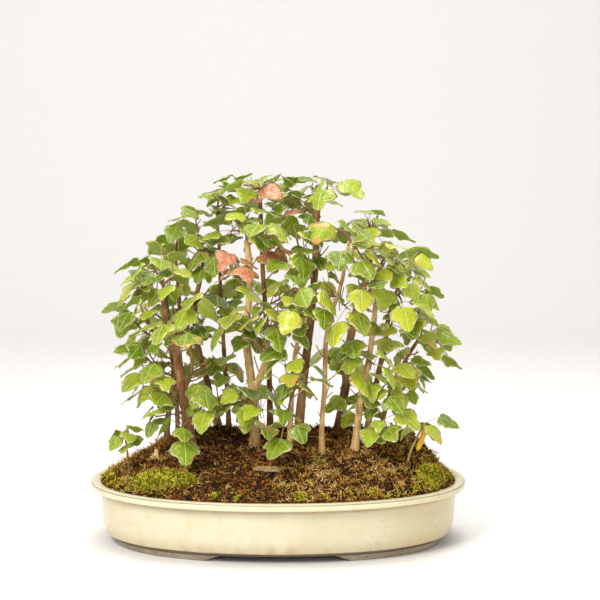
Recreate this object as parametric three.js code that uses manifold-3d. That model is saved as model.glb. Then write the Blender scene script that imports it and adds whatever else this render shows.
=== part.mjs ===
// A forest planting of young trident maples in a shallow oval pot with a cream glaze.
// Millimetres, +Z up. The origin is the middle of the footprint, on the ground; the front is -Y.
import * as THREE from 'three';
import { mergeVertices } from 'three/addons/utils/BufferGeometryUtils.js';
import Module from 'manifold-3d';

const wasm = await Module();
wasm.setup();

// ---------------------------------------------------------------- driving dimensions

const POT_LENGTH = 400;
const POT_WIDTH = 260;
const OVAL_EXPONENT = 2.17; // 2 would be an ellipse, more is squarer
const POT_SIDES = 40;

const RIM_CREST = 66.5;
const RIM_EDGE = 64.5;
const LIP_HEIGHT = 6.1;
const LIP_TOP_WIDTH = 11;
const LIP_OVERHANG = 10;
const WALL = 7.5;
const GLAZE_LINE = 11.5; // the glaze ends here and bare clay begins
const GLAZE_LINE_INSET = 15.4;
const FOOT_TOP = 8;
const FOOT_INSET = 25.3;
const FOOT_WIDTH = 12;
const FOOT_SPREAD = 4; // the foot grows outwards by this on its way up
const BELLY = [[12.2, 20.5], [10.6, 35.5]]; // inset and height where the wall's outside bends
const LIP_CORNER = 0.8;
const LIP_ROUND = 1.5;
const LIP_SLOPE = 4; // from the rim's edge in to its crest
const LIP_DEPTH = 12; // from the crest down to where the wall thins
const FLOOR_TOP = 15;
const FLOOR_ROUND = { inset: 11, height: 14, lean: 1.5 }; // inside, between wall and floor

const FRONT_GAP = { atGround: 156, atTop: 116, height: 7.4 };
const SIDE_GAP = { atGround: 78, atTop: 50, height: 7.4 };
const GAP_HOLLOW = [3, 1.5]; // where the curve of a gap's end is drawn to
const DRAIN_RADIUS = 11;
const DRAIN_SIDES = 16;
const DRAIN_SPACING = 170;
const MESH_SIZE = 32;
const MESH_THICKNESS = 1.2;
const MESH_PITCH = 8;
const MESH_OPENING = 5.6;

const GAP = 0.3; // clearance between pieces that touch
const MOUND_EDGE = 64.6; // height of the soil along the rim
const MOUND_RISE = 50;
const MOUND_CLIMB = 121; // the left end takes this long to reach the full height
const MOUND_DROP = 60; // and the right end this long to fall from it
const RIDGE_BACK = 10; // the highest line lies this far behind the middle
const SOIL_RINGS = 6;
const MOUND_LUMP = 1.5;
const ROOT_DEPTH = 22; // how far a trunk goes down into its hole

const TRUNK_SIDES = 6;
const RING_SPACING = 36; // along a limb
const FLARE = 0.45; // extra radius at the foot of a trunk, as a share
const FLARE_HEIGHT = 0.07; // over this share of the trunk
const TWIG_RADIUS = [1.7, 1.0]; // at its foot and at its end
const FORK_RADIUS = [1.05, 0.95];
const FORK_AT = 0.22; // share of the first twig where the others leave it
const NODE_LENGTH = 1.4; // stretch of a twig that a pair of leaves grows from
const SHORT_TWIG = 33; // up to this a twig has no leaves before its end
const LONG_TWIG = 46; // from this it has a pair at its middle
const TWIG_FREE = 7; // a twig is not kept clear of its own foot over this length
const TWIG_BEND = 0.45; // share of its reach that a twig follows the way it starts
const PAIR_PLACES = [0.58, 0.97]; // shares of a twig where a pair of leaves can stand
const PAIR_TURN = 0.6; // most that a pair is turned about the twig, in radians
const PAIR_AHEAD = 0.5; // how much a stalk points along its twig
const STALK_LIFT = 0.25; // and upwards

const CROWN_TOP = 394; // no leaf reaches higher
const LEAF_THICKNESS = 0.7;
const LEAF_LENGTH = [20, 30];
const STALK_REACH = [0.45, 0.8]; // in leaf lengths
const PETIOLE_HALF_WIDTH = 0.6;
const CROWN_HALF = [185, 120]; // blades hang outwards in proportion to these
const OUTWARDS = 0.8;
const FORWARDS = 0.15; // and a little towards the front
const SWING = 0.5; // most that a blade swings aside, either way
const DROOP_LOW = [0.2, 1.0]; // radians below level, low in the crown
const DROOP_HIGH = [-0.05, 0.65];
const DROOP_HEIGHTS = [270, 380]; // between these the one turns into the other
const ROLL = 0.65; // radians either way
const FOLD = [-0.32, 0.22]; // rise of a blade's halves, as a share of the way out
const CURL = [0, 0.22]; // drop of its tip, in leaf lengths
const LEAF_BALL = 0.13; // radius of the balls that stand for a blade, in leaf lengths
const STALK_BALLS = { radius: 1.3, shares: [0.4, 0.6, 0.8] };
const LEAST_LEAN = 0.4; // cosine between a stalk and the face that it grows out of
const SIDE_ROOM = 2; // no leaf comes nearer to the pot's outline
const SOIL_ROOM = 5; // nor to the soil
const TRIES = 16;
const TRY_SPREAD = 0.1; // each try turns the stalk by up to this much more
const END_SPREAD = [3, 3, 2]; // and moves a twig's end by up to half of this much more

// ---------------------------------------------------------------- the trees, by hand

// A limb is a tapered tube through its points. The first limb of a tree is its trunk, whose
// first point is its foot on the soil; the others are forks that start inside it. A shoot
// leaves a limb at a share of its length and has one twig to each of its ends.
const TREES = {
  maple_01: {
    limbs: [
      { radius: [3.4, 2.1], points: [[-120, 0, 100], [-117, -1, 136], [-111, -3, 180],
        [-116, -4, 217], [-118, -5, 245]] },
    ],
    shoots: [
      { limb: 0, at: 1.0, ends: [[-124, 11, 298], [-144, -7, 276]] },
      { limb: 0, at: 0.75, ends: [[-154, -5, 237], [-137, -28, 249]] },
      { limb: 0, at: 0.48, ends: [[-144, 3, 200], [-140, -22, 181], [-131, 27, 185]] },
    ],
  },
  maple_02: {
    limbs: [
      { radius: [6.4, 3.6], points: [[-90, -41, 97], [-95, -40, 141], [-98, -40, 157], [-103, -39, 191],
        [-107, -39, 218], [-116, -38, 249], [-118, -38, 270]] },
      { radius: [2.6, 1.8], points: [[-99, -40, 165], [-92, -42, 181], [-89, -45, 198], [-92, -50, 224]] },
    ],
    shoots: [
      { limb: 0, at: 1.0, ends: [[-128, -47, 296], [-107, -57, 286]] },
      { limb: 1, at: 1.0, ends: [[-88, -59, 252], [-104, -72, 237]] },
      { limb: 0, at: 0.35, ends: [[-122, -63, 184], [-128, -48, 172]] },
      { limb: 0, at: 0.17, ends: [[-78, -62, 156], [-100, -70, 133]] },
    ],
  },
  maple_03: {
    limbs: [
      { radius: [2.7, 1.6], points: [[-109, 25, 105], [-110, 26, 140], [-112, 27, 178], [-106, 28, 221],
        [-108, 29, 265], [-110, 30, 299]] },
    ],
    shoots: [
      { limb: 0, at: 1.0, ends: [[-104, 24, 330], [-104, 44, 306]] },
      { limb: 0, at: 0.63, ends: [[-135, 55, 236], [-101, 62, 252]] },
    ],
  },
  maple_04: {
    limbs: [
      { radius: [4.3, 2.4], points: [[-65, 30, 109], [-67, 29, 124], [-73, 27, 142], [-76, 26, 162],
        [-82, 24, 185], [-89, 20, 222], [-88, 17, 255], [-82, 15, 282]] },
    ],
    shoots: [
      { limb: 0, at: 1.0, ends: [[-84, 11, 315], [-72, -8, 299]] },
      { limb: 0, at: 0.69, ends: [[-106, 53, 199], [-72, -7, 232]] },
    ],
  },
  maple_05: {
    limbs: [
      { radius: [2.7, 1.7], points: [[-54, 36, 106], [-56, 33, 160], [-58, 31, 183], [-60, 29, 221],
        [-62, 26, 265], [-63, 24, 308], [-65, 22, 338]] },
    ],
    shoots: [
      { limb: 0, at: 1.0, ends: [[-62, 13, 366], [-53, 36, 359]] },
      { limb: 0, at: 0.6, ends: [[-71, 2, 256], [-48, 51, 263]] },
      { limb: 0, at: 0.2, ends: [[-58, -5, 187], [-75, 56, 178], [-46, 11, 153]] },
    ],
  },
  maple_06: {
    limbs: [
      { radius: [5.2, 3.1], points: [[-24, -30, 105], [-25, -30, 139], [-27, -30, 170], [-32, -30, 210],
        [-33, -30, 235], [-30, -30, 261], [-29, -30, 292], [-32, -30, 324]] },
      { radius: [4.1, 2.6], points: [[-26, -30, 164], [-15, -36, 189], [-11, -41, 208], [-11, -45, 225]] },
      { radius: [2.1, 1.5], points: [[-11, -39, 200], [-19, -45, 214], [-28, -55, 233]] },
    ],
    shoots: [
      { limb: 0, at: 1.0, ends: [[-32, -34, 348], [-49, -16, 332], [-14, -48, 338]] },
      { limb: 0, at: 0.81, ends: [[-43, -52, 299]], leaf: 'red' },
      { limb: 0, at: 0.54, ends: [[-40, -63, 240], [-19, -60, 256]] },
      { limb: 1, at: 1.0, ends: [[-13, -76, 244], [5, -58, 242]] },
      { limb: 0, at: 0.18, ends: [[-15, -60, 150], [-37, -52, 160]] },
    ],
  },
  maple_07: {
    limbs: [
      { radius: [3.2, 1.9], points: [[-9, 26, 111], [-10, 21, 180], [-13, 16, 234], [-16, 12, 282],
        [-17, 10, 310], [-18, 7, 347], [-19, 5, 369]] },
    ],
    shoots: [
      { limb: 0, at: 1.0, ends: [[-4, 12, 381], [-36, 17, 378], [-26, -18, 376]] },
      { limb: 0, at: 0.74, ends: [[-8, -15, 324]], leaf: 'red' },
      { limb: 0, at: 0.37, ends: [[3, 52, 253], [-31, 50, 221]] },
    ],
  },
  maple_08: {
    limbs: [
      { radius: [2.8, 2.0], points: [[11, -43, 100], [14, -47, 145], [16, -50, 183], [18, -51, 205],
        [22, -53, 227], [26, -55, 252]] },
    ],
    shoots: [
      { limb: 0, at: 1.0, ends: [[16, -73, 276], [30, -86, 268]] },
      { limb: 0, at: 0.29, ends: [[8, -75, 200], [26, -77, 186], [9, -73, 141]] },
    ],
  },
  maple_09: {
    limbs: [
      { radius: [5.0, 3.2], points: [[21, -14, 108], [25, -11, 154], [30, -9, 199], [33, -8, 221],
        [37, -6, 260], [40, -3, 311], [41, -1, 346], [43, 0, 359]] },
    ],
    shoots: [
      { limb: 0, at: 1.0, ends: [[54, -11, 372], [34, 11, 377]] },
      { limb: 0, at: 0.68, ends: [[20, -20, 324], [14, -34, 301], [52, -32, 296]] },
    ],
  },
  maple_10: {
    limbs: [
      { radius: [2.8, 1.8], points: [[47, -46, 99], [46, -47, 131], [49, -47, 175], [50, -48, 219],
        [54, -48, 237], [58, -49, 255], [66, -49, 281], [70, -50, 304], [74, -50, 325]] },
    ],
    shoots: [
      { limb: 0, at: 1.0, ends: [[63, -42, 334], [79, -73, 318]] },
      { limb: 0, at: 0.69, ends: [[49, -77, 271], [71, -83, 259]] },
    ],
  },
  maple_11: {
    limbs: [
      { radius: [5.3, 3.2], points: [[65, 20, 112], [69, 19, 142], [74, 18, 173], [76, 17, 206],
        [81, 16, 230], [85, 15, 251], [94, 14, 279], [98, 13, 304], [99, 12, 324]] },
      { radius: [3.2, 2.1], points: [[84, 15, 245], [94, 19, 255], [104, 28, 276], [112, 35, 294]] },
    ],
    shoots: [
      { limb: 0, at: 1.0, ends: [[96, 4, 338], [102, 26, 328]] },
      { limb: 1, at: 1.0, ends: [[109, 56, 298], [131, 43, 293]] },
      { limb: 0, at: 0.21, ends: [[63, 47, 188], [87, 35, 171]] },
    ],
  },
  maple_12: {
    limbs: [
      { radius: [4.1, 2.3], points: [[80, -40, 101], [84, -44, 137], [88, -47, 168], [94, -50, 198],
        [99, -53, 235], [101, -56, 259], [103, -58, 280]] },
    ],
    shoots: [
      { limb: 0, at: 1.0, ends: [[108, -64, 307], [93, -85, 283]] },
      { limb: 0, at: 0.55, ends: [[79, -78, 210], [99, -81, 201]] },
    ],
  },
  maple_13: {
    limbs: [
      { radius: [3.4, 2.3], points: [[90, -28, 104], [99, -30, 150], [102, -31, 165], [106, -32, 187],
        [112, -33, 213], [114, -34, 234], [119, -35, 256]] },
    ],
    shoots: [
      { limb: 0, at: 1.0, ends: [[138, -27, 300], [151, -43, 271], [127, -72, 263]] },
      { limb: 0, at: 0.2, ends: [[109, -69, 139], [96, 5, 137]] },
    ],
  },
  maple_14: {
    limbs: [
      { radius: [2.7, 1.9], points: [[110, 22, 112], [118, 18, 146], [129, 14, 176], [135, 13, 189],
        [148, 10, 211]] },
    ],
    shoots: [
      { limb: 0, at: 1.0, ends: [[165, 22, 217], [170, -2, 212], [148, -25, 234]] },
      { limb: 0, at: 0.61, ends: [[146, 26, 176], [132, -20, 164], [124, -44, 206]] },
    ],
  },
};

// A sapling is one thin stem with its leaves on it.
const SAPLINGS = {
  sapling_left: { radius: [1.5, 1.1], leaves: 8, length: [15, 19],
    points: [[-156, -35, 77], [-158, -37, 101], [-161, -38, 124]] },
  sapling_right: { radius: [1.7, 1.2], leaves: 4, length: [22, 27],
    points: [[135, -48, 89], [138, -49, 103], [147, -50, 123], [153, -50, 134]] },
};

// Moss cushions on the soil: middle, half axes, turn and height.
const MOSSES = {
  moss_left: { at: [-122, -68], half: [38, 13], turn: -0.36, height: 6 },
  moss_right: { at: [160, -43], half: [28, 10], turn: 1.05, height: 5 },
};
const BARK_CHIP = { at: [-5, -72], length: 41, width: 7, height: 2.4, turn: 0.04 };

const COLOURS = {
  glaze: { color: 0xe9e3c4, roughness: 0.35, metalness: 0 },
  mesh: { color: 0x3b3f3a, roughness: 0.7, metalness: 0 },
  soil: { color: 0x3d2a1c, roughness: 1, metalness: 0 },
  bark: { color: 0xa27c55, roughness: 0.85, metalness: 0 },
  chip: { color: 0xa98d6d, roughness: 0.9, metalness: 0 },
  moss: { color: 0x8d9a1f, roughness: 1, metalness: 0 },
  green: { color: 0x6f9a2f, roughness: 0.5, metalness: 0 },
  red: { color: 0xc2664c, roughness: 0.5, metalness: 0 },
};

// ---------------------------------------------------------------- small helpers

const UP = new THREE.Vector3(0, 0, 1);
const vector = (list) => new THREE.Vector3(...list);
const mix = (a, b, share) => a + (b - a) * share;
const smooth = (low, high, x) => THREE.MathUtils.smoothstep(x, low, high);

// A number from 0 to 1 that depends only on the whole numbers given. Those before the last
// name a twig or leaf, and the last tells its draws apart.
function draw(...keys) {
  let hash = 2166136261;
  for (const key of keys) {
    hash = Math.imul(hash ^ key, 16777619);
    hash ^= hash >>> 15;
  }
  hash = Math.imul(hash ^ (hash >>> 16), 2246822507);
  hash = Math.imul(hash ^ (hash >>> 13), 3266489909);
  return ((hash ^ (hash >>> 16)) >>> 0) / 4294967296;
}

function fromTriangles(points, triangles) {
  const geometry = new THREE.BufferGeometry();
  geometry.setAttribute('position', new THREE.Float32BufferAttribute(points.flat(), 3));
  geometry.setIndex(triangles.flat());
  return geometry;
}

// Rings with the same number of points, counter-clockwise round the way they follow each
// other, are skinned into a closed body with a flat fan at each end.
function loft(rings) {
  const sides = rings[0].length;
  const triangles = [];
  for (let ring = 0; ring + 1 < rings.length; ring++) {
    for (let side = 0; side < sides; side++) {
      const a = ring * sides + side;
      const b = ring * sides + ((side + 1) % sides);
      triangles.push([a, b, b + sides], [a, b + sides, a + sides]);
    }
  }
  const last = (rings.length - 1) * sides;
  for (let side = 1; side + 1 < sides; side++) {
    triangles.push([0, side + 1, side], [last, last + side, last + side + 1]);
  }
  return fromTriangles(rings.flat(), triangles);
}

function solidOf(geometry) {
  const bare = geometry.clone();
  bare.deleteAttribute('normal');
  bare.deleteAttribute('uv');
  const merged = mergeVertices(bare, 1e-4);
  return new wasm.Manifold(new wasm.Mesh({
    numProp: 3,
    vertProperties: merged.attributes.position.array,
    triVerts: new Uint32Array(merged.index.array),
  }));
}

function geometryOf(solid) {
  const mesh = solid.getMesh();
  const geometry = new THREE.BufferGeometry();
  geometry.setAttribute('position', new THREE.BufferAttribute(new Float32Array(mesh.vertProperties), 3));
  geometry.setIndex(new THREE.BufferAttribute(new Uint32Array(mesh.triVerts), 1));
  return geometry.toNonIndexed();
}

const fuse = (solids) => solids.reduce((whole, solid) => whole.add(solid));

const model = new THREE.Group();

function place(name, solid, colour) {
  const geometry = geometryOf(solid);
  geometry.computeVertexNormals();
  const mesh = new THREE.Mesh(geometry, new THREE.MeshStandardMaterial(COLOURS[colour]));
  mesh.name = name;
  model.add(mesh);
}

// ---------------------------------------------------------------- the pot

// One ring of the oval, a number of millimetres in from the rim's edge.
function oval(inset, z, shrink = 1) {
  const ring = [];
  for (let side = 0; side < POT_SIDES; side++) {
    const angle = (2 * Math.PI * side) / POT_SIDES;
    const power = 2 / OVAL_EXPONENT;
    const across = Math.sign(Math.cos(angle)) * Math.abs(Math.cos(angle)) ** power;
    const deep = Math.sign(Math.sin(angle)) * Math.abs(Math.sin(angle)) ** power;
    const x = shrink * (POT_LENGTH / 2 - inset) * across;
    const y = shrink * (POT_WIDTH / 2 - inset) * deep;
    ring.push([x, y, z]);
  }
  return ring;
}

// An opening in the foot, as deep as the foot and wider at the ground, with hollow ends.
function footGap({ atGround, atTop, height }, depth) {
  const outline = new THREE.Shape();
  const below = 2;
  outline.moveTo(-atGround / 2, -below);
  outline.lineTo(atGround / 2, -below);
  outline.lineTo(atGround / 2, 0);
  outline.quadraticCurveTo(atTop / 2 + GAP_HOLLOW[0], GAP_HOLLOW[1], atTop / 2, height);
  outline.lineTo(-atTop / 2, height);
  outline.quadraticCurveTo(-atTop / 2 - GAP_HOLLOW[0], GAP_HOLLOW[1], -atGround / 2, 0);
  const gap = new THREE.ExtrudeGeometry(outline, { depth, bevelEnabled: false, curveSegments: 4 });
  gap.translate(0, 0, -depth / 2);
  gap.rotateX(Math.PI / 2);
  return gap;
}

const WALL_TOP = RIM_EDGE - LIP_HEIGHT;
const WALL_INSIDE = LIP_OVERHANG + WALL;

// The inside of the wall from below the lip to the floor, or a little inside of it.
function pocket(clearance) {
  return [
    oval(WALL_INSIDE + clearance, RIM_CREST - LIP_DEPTH),
    oval(WALL_INSIDE + FLOOR_ROUND.lean + clearance, FLOOR_TOP + FLOOR_ROUND.height),
    oval(WALL_INSIDE + FLOOR_ROUND.inset + clearance, FLOOR_TOP + clearance / 2),
  ];
}

function potSolid() {
  const body = solidOf(loft([
    oval(FOOT_INSET + FOOT_WIDTH, FOOT_TOP),
    oval(FOOT_INSET + FOOT_WIDTH, 0),
    oval(FOOT_INSET, 0),
    oval(FOOT_INSET - FOOT_SPREAD, FOOT_TOP - 1),
    oval(GLAZE_LINE_INSET, GLAZE_LINE),
    ...BELLY.map(([inset, height]) => oval(inset, height)),
    oval(LIP_OVERHANG, WALL_TOP),
    oval(LIP_CORNER, WALL_TOP),
    oval(0, WALL_TOP + LIP_ROUND),
    oval(0, RIM_EDGE),
    oval(LIP_SLOPE, RIM_CREST),
    oval(LIP_TOP_WIDTH, RIM_CREST - 1),
    ...pocket(0),
  ]));
  const acrossTheFront = solidOf(footGap(FRONT_GAP, POT_WIDTH));
  const acrossTheSides = solidOf(footGap(SIDE_GAP, POT_LENGTH).rotateZ(Math.PI / 2));
  let pot = body.subtract(acrossTheFront).subtract(acrossTheSides);
  for (const side of [-1, 1]) {
    const drill = new THREE.CylinderGeometry(DRAIN_RADIUS, DRAIN_RADIUS, FLOOR_TOP, DRAIN_SIDES);
    drill.rotateX(Math.PI / 2);
    drill.translate((side * DRAIN_SPACING) / 2, 0, FLOOR_TOP);
    pot = pot.subtract(solidOf(drill));
  }
  return pot;
}

place('pot', potSolid(), 'glaze');

// ---------------------------------------------------------------- drain meshes

// A plastic mesh lies over each drain hole and keeps the soil in.
function drainMesh(side) {
  const boxAt = (width, height, x, y) => {
    const box = new THREE.BoxGeometry(width, width, height);
    box.translate((side * DRAIN_SPACING) / 2 + x, y, FLOOR_TOP + GAP + MESH_THICKNESS / 2);
    return solidOf(box);
  };
  let mesh = boxAt(MESH_SIZE, MESH_THICKNESS, 0, 0);
  for (const column of [-0.5, 0.5]) {
    for (const row of [-0.5, 0.5]) {
      mesh = mesh.subtract(boxAt(MESH_OPENING, 2 * MESH_THICKNESS, column * MESH_PITCH, row * MESH_PITCH));
    }
  }
  return mesh;
}

place('drain_mesh_left', drainMesh(-1), 'mesh');
place('drain_mesh_right', drainMesh(1), 'mesh');

// ---------------------------------------------------------------- the soil

// How high the soil stands: a ridge along the pot that climbs gently from the left end,
// stays high to the right and drops there, and falls to the rim at the front and back.
function moundHeight(x, y) {
  const reach = POT_LENGTH / 2 - LIP_TOP_WIDTH;
  const climb = Math.sin((Math.PI / 2) * THREE.MathUtils.clamp((x + reach) / MOUND_CLIMB, 0, 1));
  const drop = Math.sin((Math.PI / 2) * THREE.MathUtils.clamp((reach - x) / MOUND_DROP, 0, 1)) ** 1.4;
  const round = Math.max(1 - Math.abs(x / reach) ** OVAL_EXPONENT, 1e-6);
  const edge = (POT_WIDTH / 2 - LIP_TOP_WIDTH) * round ** (1 / OVAL_EXPONENT);
  const ridge = (RIDGE_BACK * edge) / (POT_WIDTH / 2 - LIP_TOP_WIDTH);
  const away = y > ridge ? (y - ridge) / (edge - ridge) : (ridge - y) / (edge + ridge);
  const across = Math.cos((Math.PI / 2) * Math.min(away, 1)) ** 1.2;
  return MOUND_EDGE + MOUND_RISE * climb * drop * across;
}

function lump(x, y) {
  return Math.sin(0.13 * x + 0.9) * Math.sin(0.17 * y + 0.4) + 0.6 * Math.sin(0.29 * x - 0.23 * y);
}

function moundRing(step) {
  const shrink = 1 - step / (SOIL_RINGS + 0.6);
  return oval(LIP_TOP_WIDTH + 0.7, 0, shrink).map(([x, y]) => {
    const calm = smooth(0, 0.25, 1 - shrink);
    return [x, y, moundHeight(x, y) + MOUND_LUMP * calm * lump(x, y)];
  });
}

// The soil fills the pot. Raised, it is the shape that things lying on it are cut with.
function soilSolid(raised = 0) {
  const inside = pocket(2 * GAP).reverse();
  const surface = [];
  for (let step = 0; step <= SOIL_RINGS; step++) {
    surface.push(moundRing(step).map(([x, y, z]) => [x, y, z + raised]));
  }
  return solidOf(loft([...inside, ...surface]));
}

// The soil leaves room for a drain mesh and its clearance.
function meshPocket(side) {
  const size = MESH_SIZE + 2 * GAP;
  const pocket = new THREE.BoxGeometry(size, size, 2 * MESH_THICKNESS + 4 * GAP);
  pocket.translate((side * DRAIN_SPACING) / 2, 0, FLOOR_TOP + GAP);
  return solidOf(pocket);
}

// ---------------------------------------------------------------- limbs

const smoothCurve = (points) => new THREE.CatmullRomCurve3(points.map(vector), false, 'catmullrom', 0.5);

// The direction of a curve, from two points close to each other on it.
function heading(curve, at) {
  const ahead = curve.getPoint(Math.min(at + 0.01, 1));
  return ahead.sub(curve.getPoint(Math.max(at - 0.01, 0))).normalize();
}

// A ring of points round a curve; the first corner lies along the reference crossed with it.
function ringRound(centre, along, reference, radius, sides) {
  const first = new THREE.Vector3().crossVectors(along, reference).normalize();
  const second = new THREE.Vector3().crossVectors(along, first);
  const ring = [];
  for (let side = 0; side < sides; side++) {
    const angle = (2 * Math.PI * side) / sides;
    const point = centre.clone();
    point.addScaledVector(first, radius * Math.cos(angle));
    point.addScaledVector(second, radius * Math.sin(angle));
    ring.push(point.toArray());
  }
  return ring;
}

const BACKWARDS = new THREE.Vector3(0, 1, 0);

function limbRadius([base, tip], at, flare) {
  return mix(base, tip, at ** 0.8) * (1 + flare * Math.exp(-at / FLARE_HEIGHT));
}

// A limb's tube, with a ring wherever a shoot leaves it; a trunk also flares at its foot and
// goes straight down into the soil.
function limbGeometry(limb, isTrunk, shootPlaces = [], extra = 0) {
  const curve = smoothCurve(limb.points);
  const flare = isTrunk ? FLARE : 0;
  const steps = Math.round(curve.getLength() / RING_SPACING) + 2;
  const rings = [];
  if (isTrunk) {
    const foot = vector(limb.points[0]);
    const radius = limbRadius(limb.radius, 0, flare) + extra;
    foot.z -= ROOT_DEPTH + extra;
    rings.push(ringRound(foot, UP, BACKWARDS, radius, TRUNK_SIDES));
    foot.z = limb.points[0][2] - 3;
    rings.push(ringRound(foot, UP, BACKWARDS, radius, TRUNK_SIDES));
  }
  const isFree = (at) => shootPlaces.every((place) => Math.abs(place - at) > 0.5 / steps);
  const even = Array.from({ length: steps + 1 }, (_, step) => step / steps).filter(isFree);
  const places = [...even, ...shootPlaces].sort((a, b) => a - b);
  places[0] = isTrunk ? 0.3 / steps : 0;
  for (const at of places) {
    const radius = limbRadius(limb.radius, at, flare) + extra;
    rings.push(ringRound(curve.getPoint(at), heading(curve, at), BACKWARDS, radius, TRUNK_SIDES));
  }
  return loft(rings);
}

// ---------------------------------------------------------------- keeping leaves clear

// Every piece above the soil is also a string of balls, each with the shoot it belongs to.
// A new leaf or twig is kept only where its balls meet none of another piece.
const balls = [];

function isClear(candidate) {
  for (const [x, y, z, radius] of candidate) {
    if (Math.abs(x) + radius > POT_LENGTH / 2 - SIDE_ROOM) return false;
    if (Math.abs(y) + radius > POT_WIDTH / 2 - SIDE_ROOM) return false;
    if (z - radius < moundHeight(x, y) + SOIL_ROOM) return false;
    if (z + radius > CROWN_TOP) return false;
    for (const other of balls) {
      const reach = radius + other[3];
      const dx = x - other[0];
      const dy = y - other[1];
      const dz = z - other[2];
      if (dx * dx + dy * dy + dz * dz < reach * reach) return false;
    }
  }
  return true;
}

function ballsAlong(curve, radiusAt, spacing, from = 0) {
  const count = Math.ceil(curve.getLength() / spacing);
  const found = [];
  for (let step = 0; step <= count; step++) {
    const at = step / count;
    const point = curve.getPoint(at);
    if (at >= from) found.push([point.x, point.y, point.z, radiusAt(at)]);
  }
  return found;
}

// ---------------------------------------------------------------- leaves

// Half a blade in leaf lengths, [sideways, forward]: shoulder, side lobe and notch.
const SHOULDER = [0.36, 0.05];
const LOBE = [0.54, 0.45];
const NOTCH = [0.23, 0.55];
const HALF_BALLS = [[0.14, 0.1], [0.32, 0.17], [0.2, 0.34], [0.43, 0.38], [0.13, 0.62]];
const BLADE_BALLS = [
  [0, 0.45], [0, 0.76], [0, 0.93],
  ...HALF_BALLS,
  ...HALF_BALLS.map(([sideways, forward]) => [-sideways, forward]),
];

// A blade point is lifted or lowered off its plane: the halves fold about the midrib and the
// tip curls down.
function lift(leaf, sideways, forward) {
  return leaf.fold * Math.abs(sideways) - leaf.curl * forward * forward;
}

function bladePoint(leaf, sideways, forward) {
  const point = leaf.base.clone();
  point.addScaledVector(leaf.across, sideways * leaf.length);
  point.addScaledVector(leaf.forward, forward * leaf.length);
  point.addScaledVector(leaf.normal, lift(leaf, sideways, forward) * leaf.length);
  return point;
}

// The leaf's stalk runs from the twig to the blade; the blade hangs outwards and down from
// its end, flatter near the top of the crown.
function poseLeaf(root, stalk, keys, sizes) {
  const length = mix(sizes[0], sizes[1], draw(...keys, 1));
  const reach = length * mix(...STALK_REACH, draw(...keys, 2));
  const base = root.clone().addScaledVector(stalk, reach);
  const outward = new THREE.Vector3(base.x / CROWN_HALF[0], base.y / CROWN_HALF[1], 0);
  const level = new THREE.Vector3(stalk.x, stalk.y, 0).addScaledVector(outward, OUTWARDS);
  level.x += mix(-SWING, SWING, draw(...keys, 3));
  level.y += mix(-SWING, SWING, draw(...keys, 4)) - FORWARDS;
  level.normalize();
  const high = smooth(...DROOP_HEIGHTS, base.z);
  const droop = mix(mix(...DROOP_LOW, draw(...keys, 5)), mix(...DROOP_HIGH, draw(...keys, 5)), high);
  const forward = level.clone().multiplyScalar(Math.cos(droop)).addScaledVector(UP, -Math.sin(droop));
  const flat = new THREE.Vector3().crossVectors(forward, UP).normalize();
  const roll = mix(-ROLL, ROLL, draw(...keys, 6));
  const across = flat.clone().multiplyScalar(Math.cos(roll));
  across.addScaledVector(new THREE.Vector3().crossVectors(flat, forward), Math.sin(roll));
  const normal = new THREE.Vector3().crossVectors(across, forward).normalize();
  const fold = mix(...FOLD, draw(...keys, 7));
  const curl = mix(...CURL, draw(...keys, 8));
  return { root, stalk, base, forward, across, normal, length, reach, fold, curl };
}

function leafBalls(leaf) {
  const radius = LEAF_BALL * leaf.length + GAP;
  const found = BLADE_BALLS.map((spot) => [...bladePoint(leaf, ...spot).toArray(), radius]);
  for (const share of STALK_BALLS.shares) {
    const point = leaf.root.clone().addScaledVector(leaf.stalk, share * leaf.reach);
    found.push([...point.toArray(), STALK_BALLS.radius]);
  }
  return found;
}

// The first of a few draws that keeps the leaf clear of everything, or nothing.
function growLeaf(root, way, faceWay, keys, sizes) {
  for (let attempt = 0; attempt < TRIES; attempt++) {
    const spread = TRY_SPREAD * Math.min(attempt, 9);
    const stalk = way.clone();
    stalk.x += (draw(...keys, attempt, 11) - 0.5) * spread;
    stalk.y += (draw(...keys, attempt, 12) - 0.5) * spread;
    stalk.z += (draw(...keys, attempt, 13) - 0.5) * spread;
    stalk.normalize();
    if (stalk.dot(faceWay) < LEAST_LEAN) continue;
    const leaf = poseLeaf(root, stalk, [...keys, attempt], sizes);
    const candidate = leafBalls(leaf);
    if (isClear(candidate)) {
      balls.push(...candidate);
      return leaf;
    }
  }
  return null;
}

// A body that grows point by point and face by face.
class Skin {
  points = [];
  triangles = [];

  addPoint(point) {
    return this.points.push(point.toArray()) - 1;
  }

  // Four corners, counter-clockwise from outside.
  addPatch([a, b, c, d]) {
    this.triangles.push([a, b, c], [a, c, d]);
  }

  solid() {
    return solidOf(fromTriangles(this.points, this.triangles));
  }
}

// The blade has nine corners above and nine below, joined by triangles alike on both faces.
const BLADE_FACES = [[8, 0, 4], [0, 1, 2], [0, 2, 3], [0, 3, 4], [8, 4, 5], [8, 5, 6], [8, 6, 7]];

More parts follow.
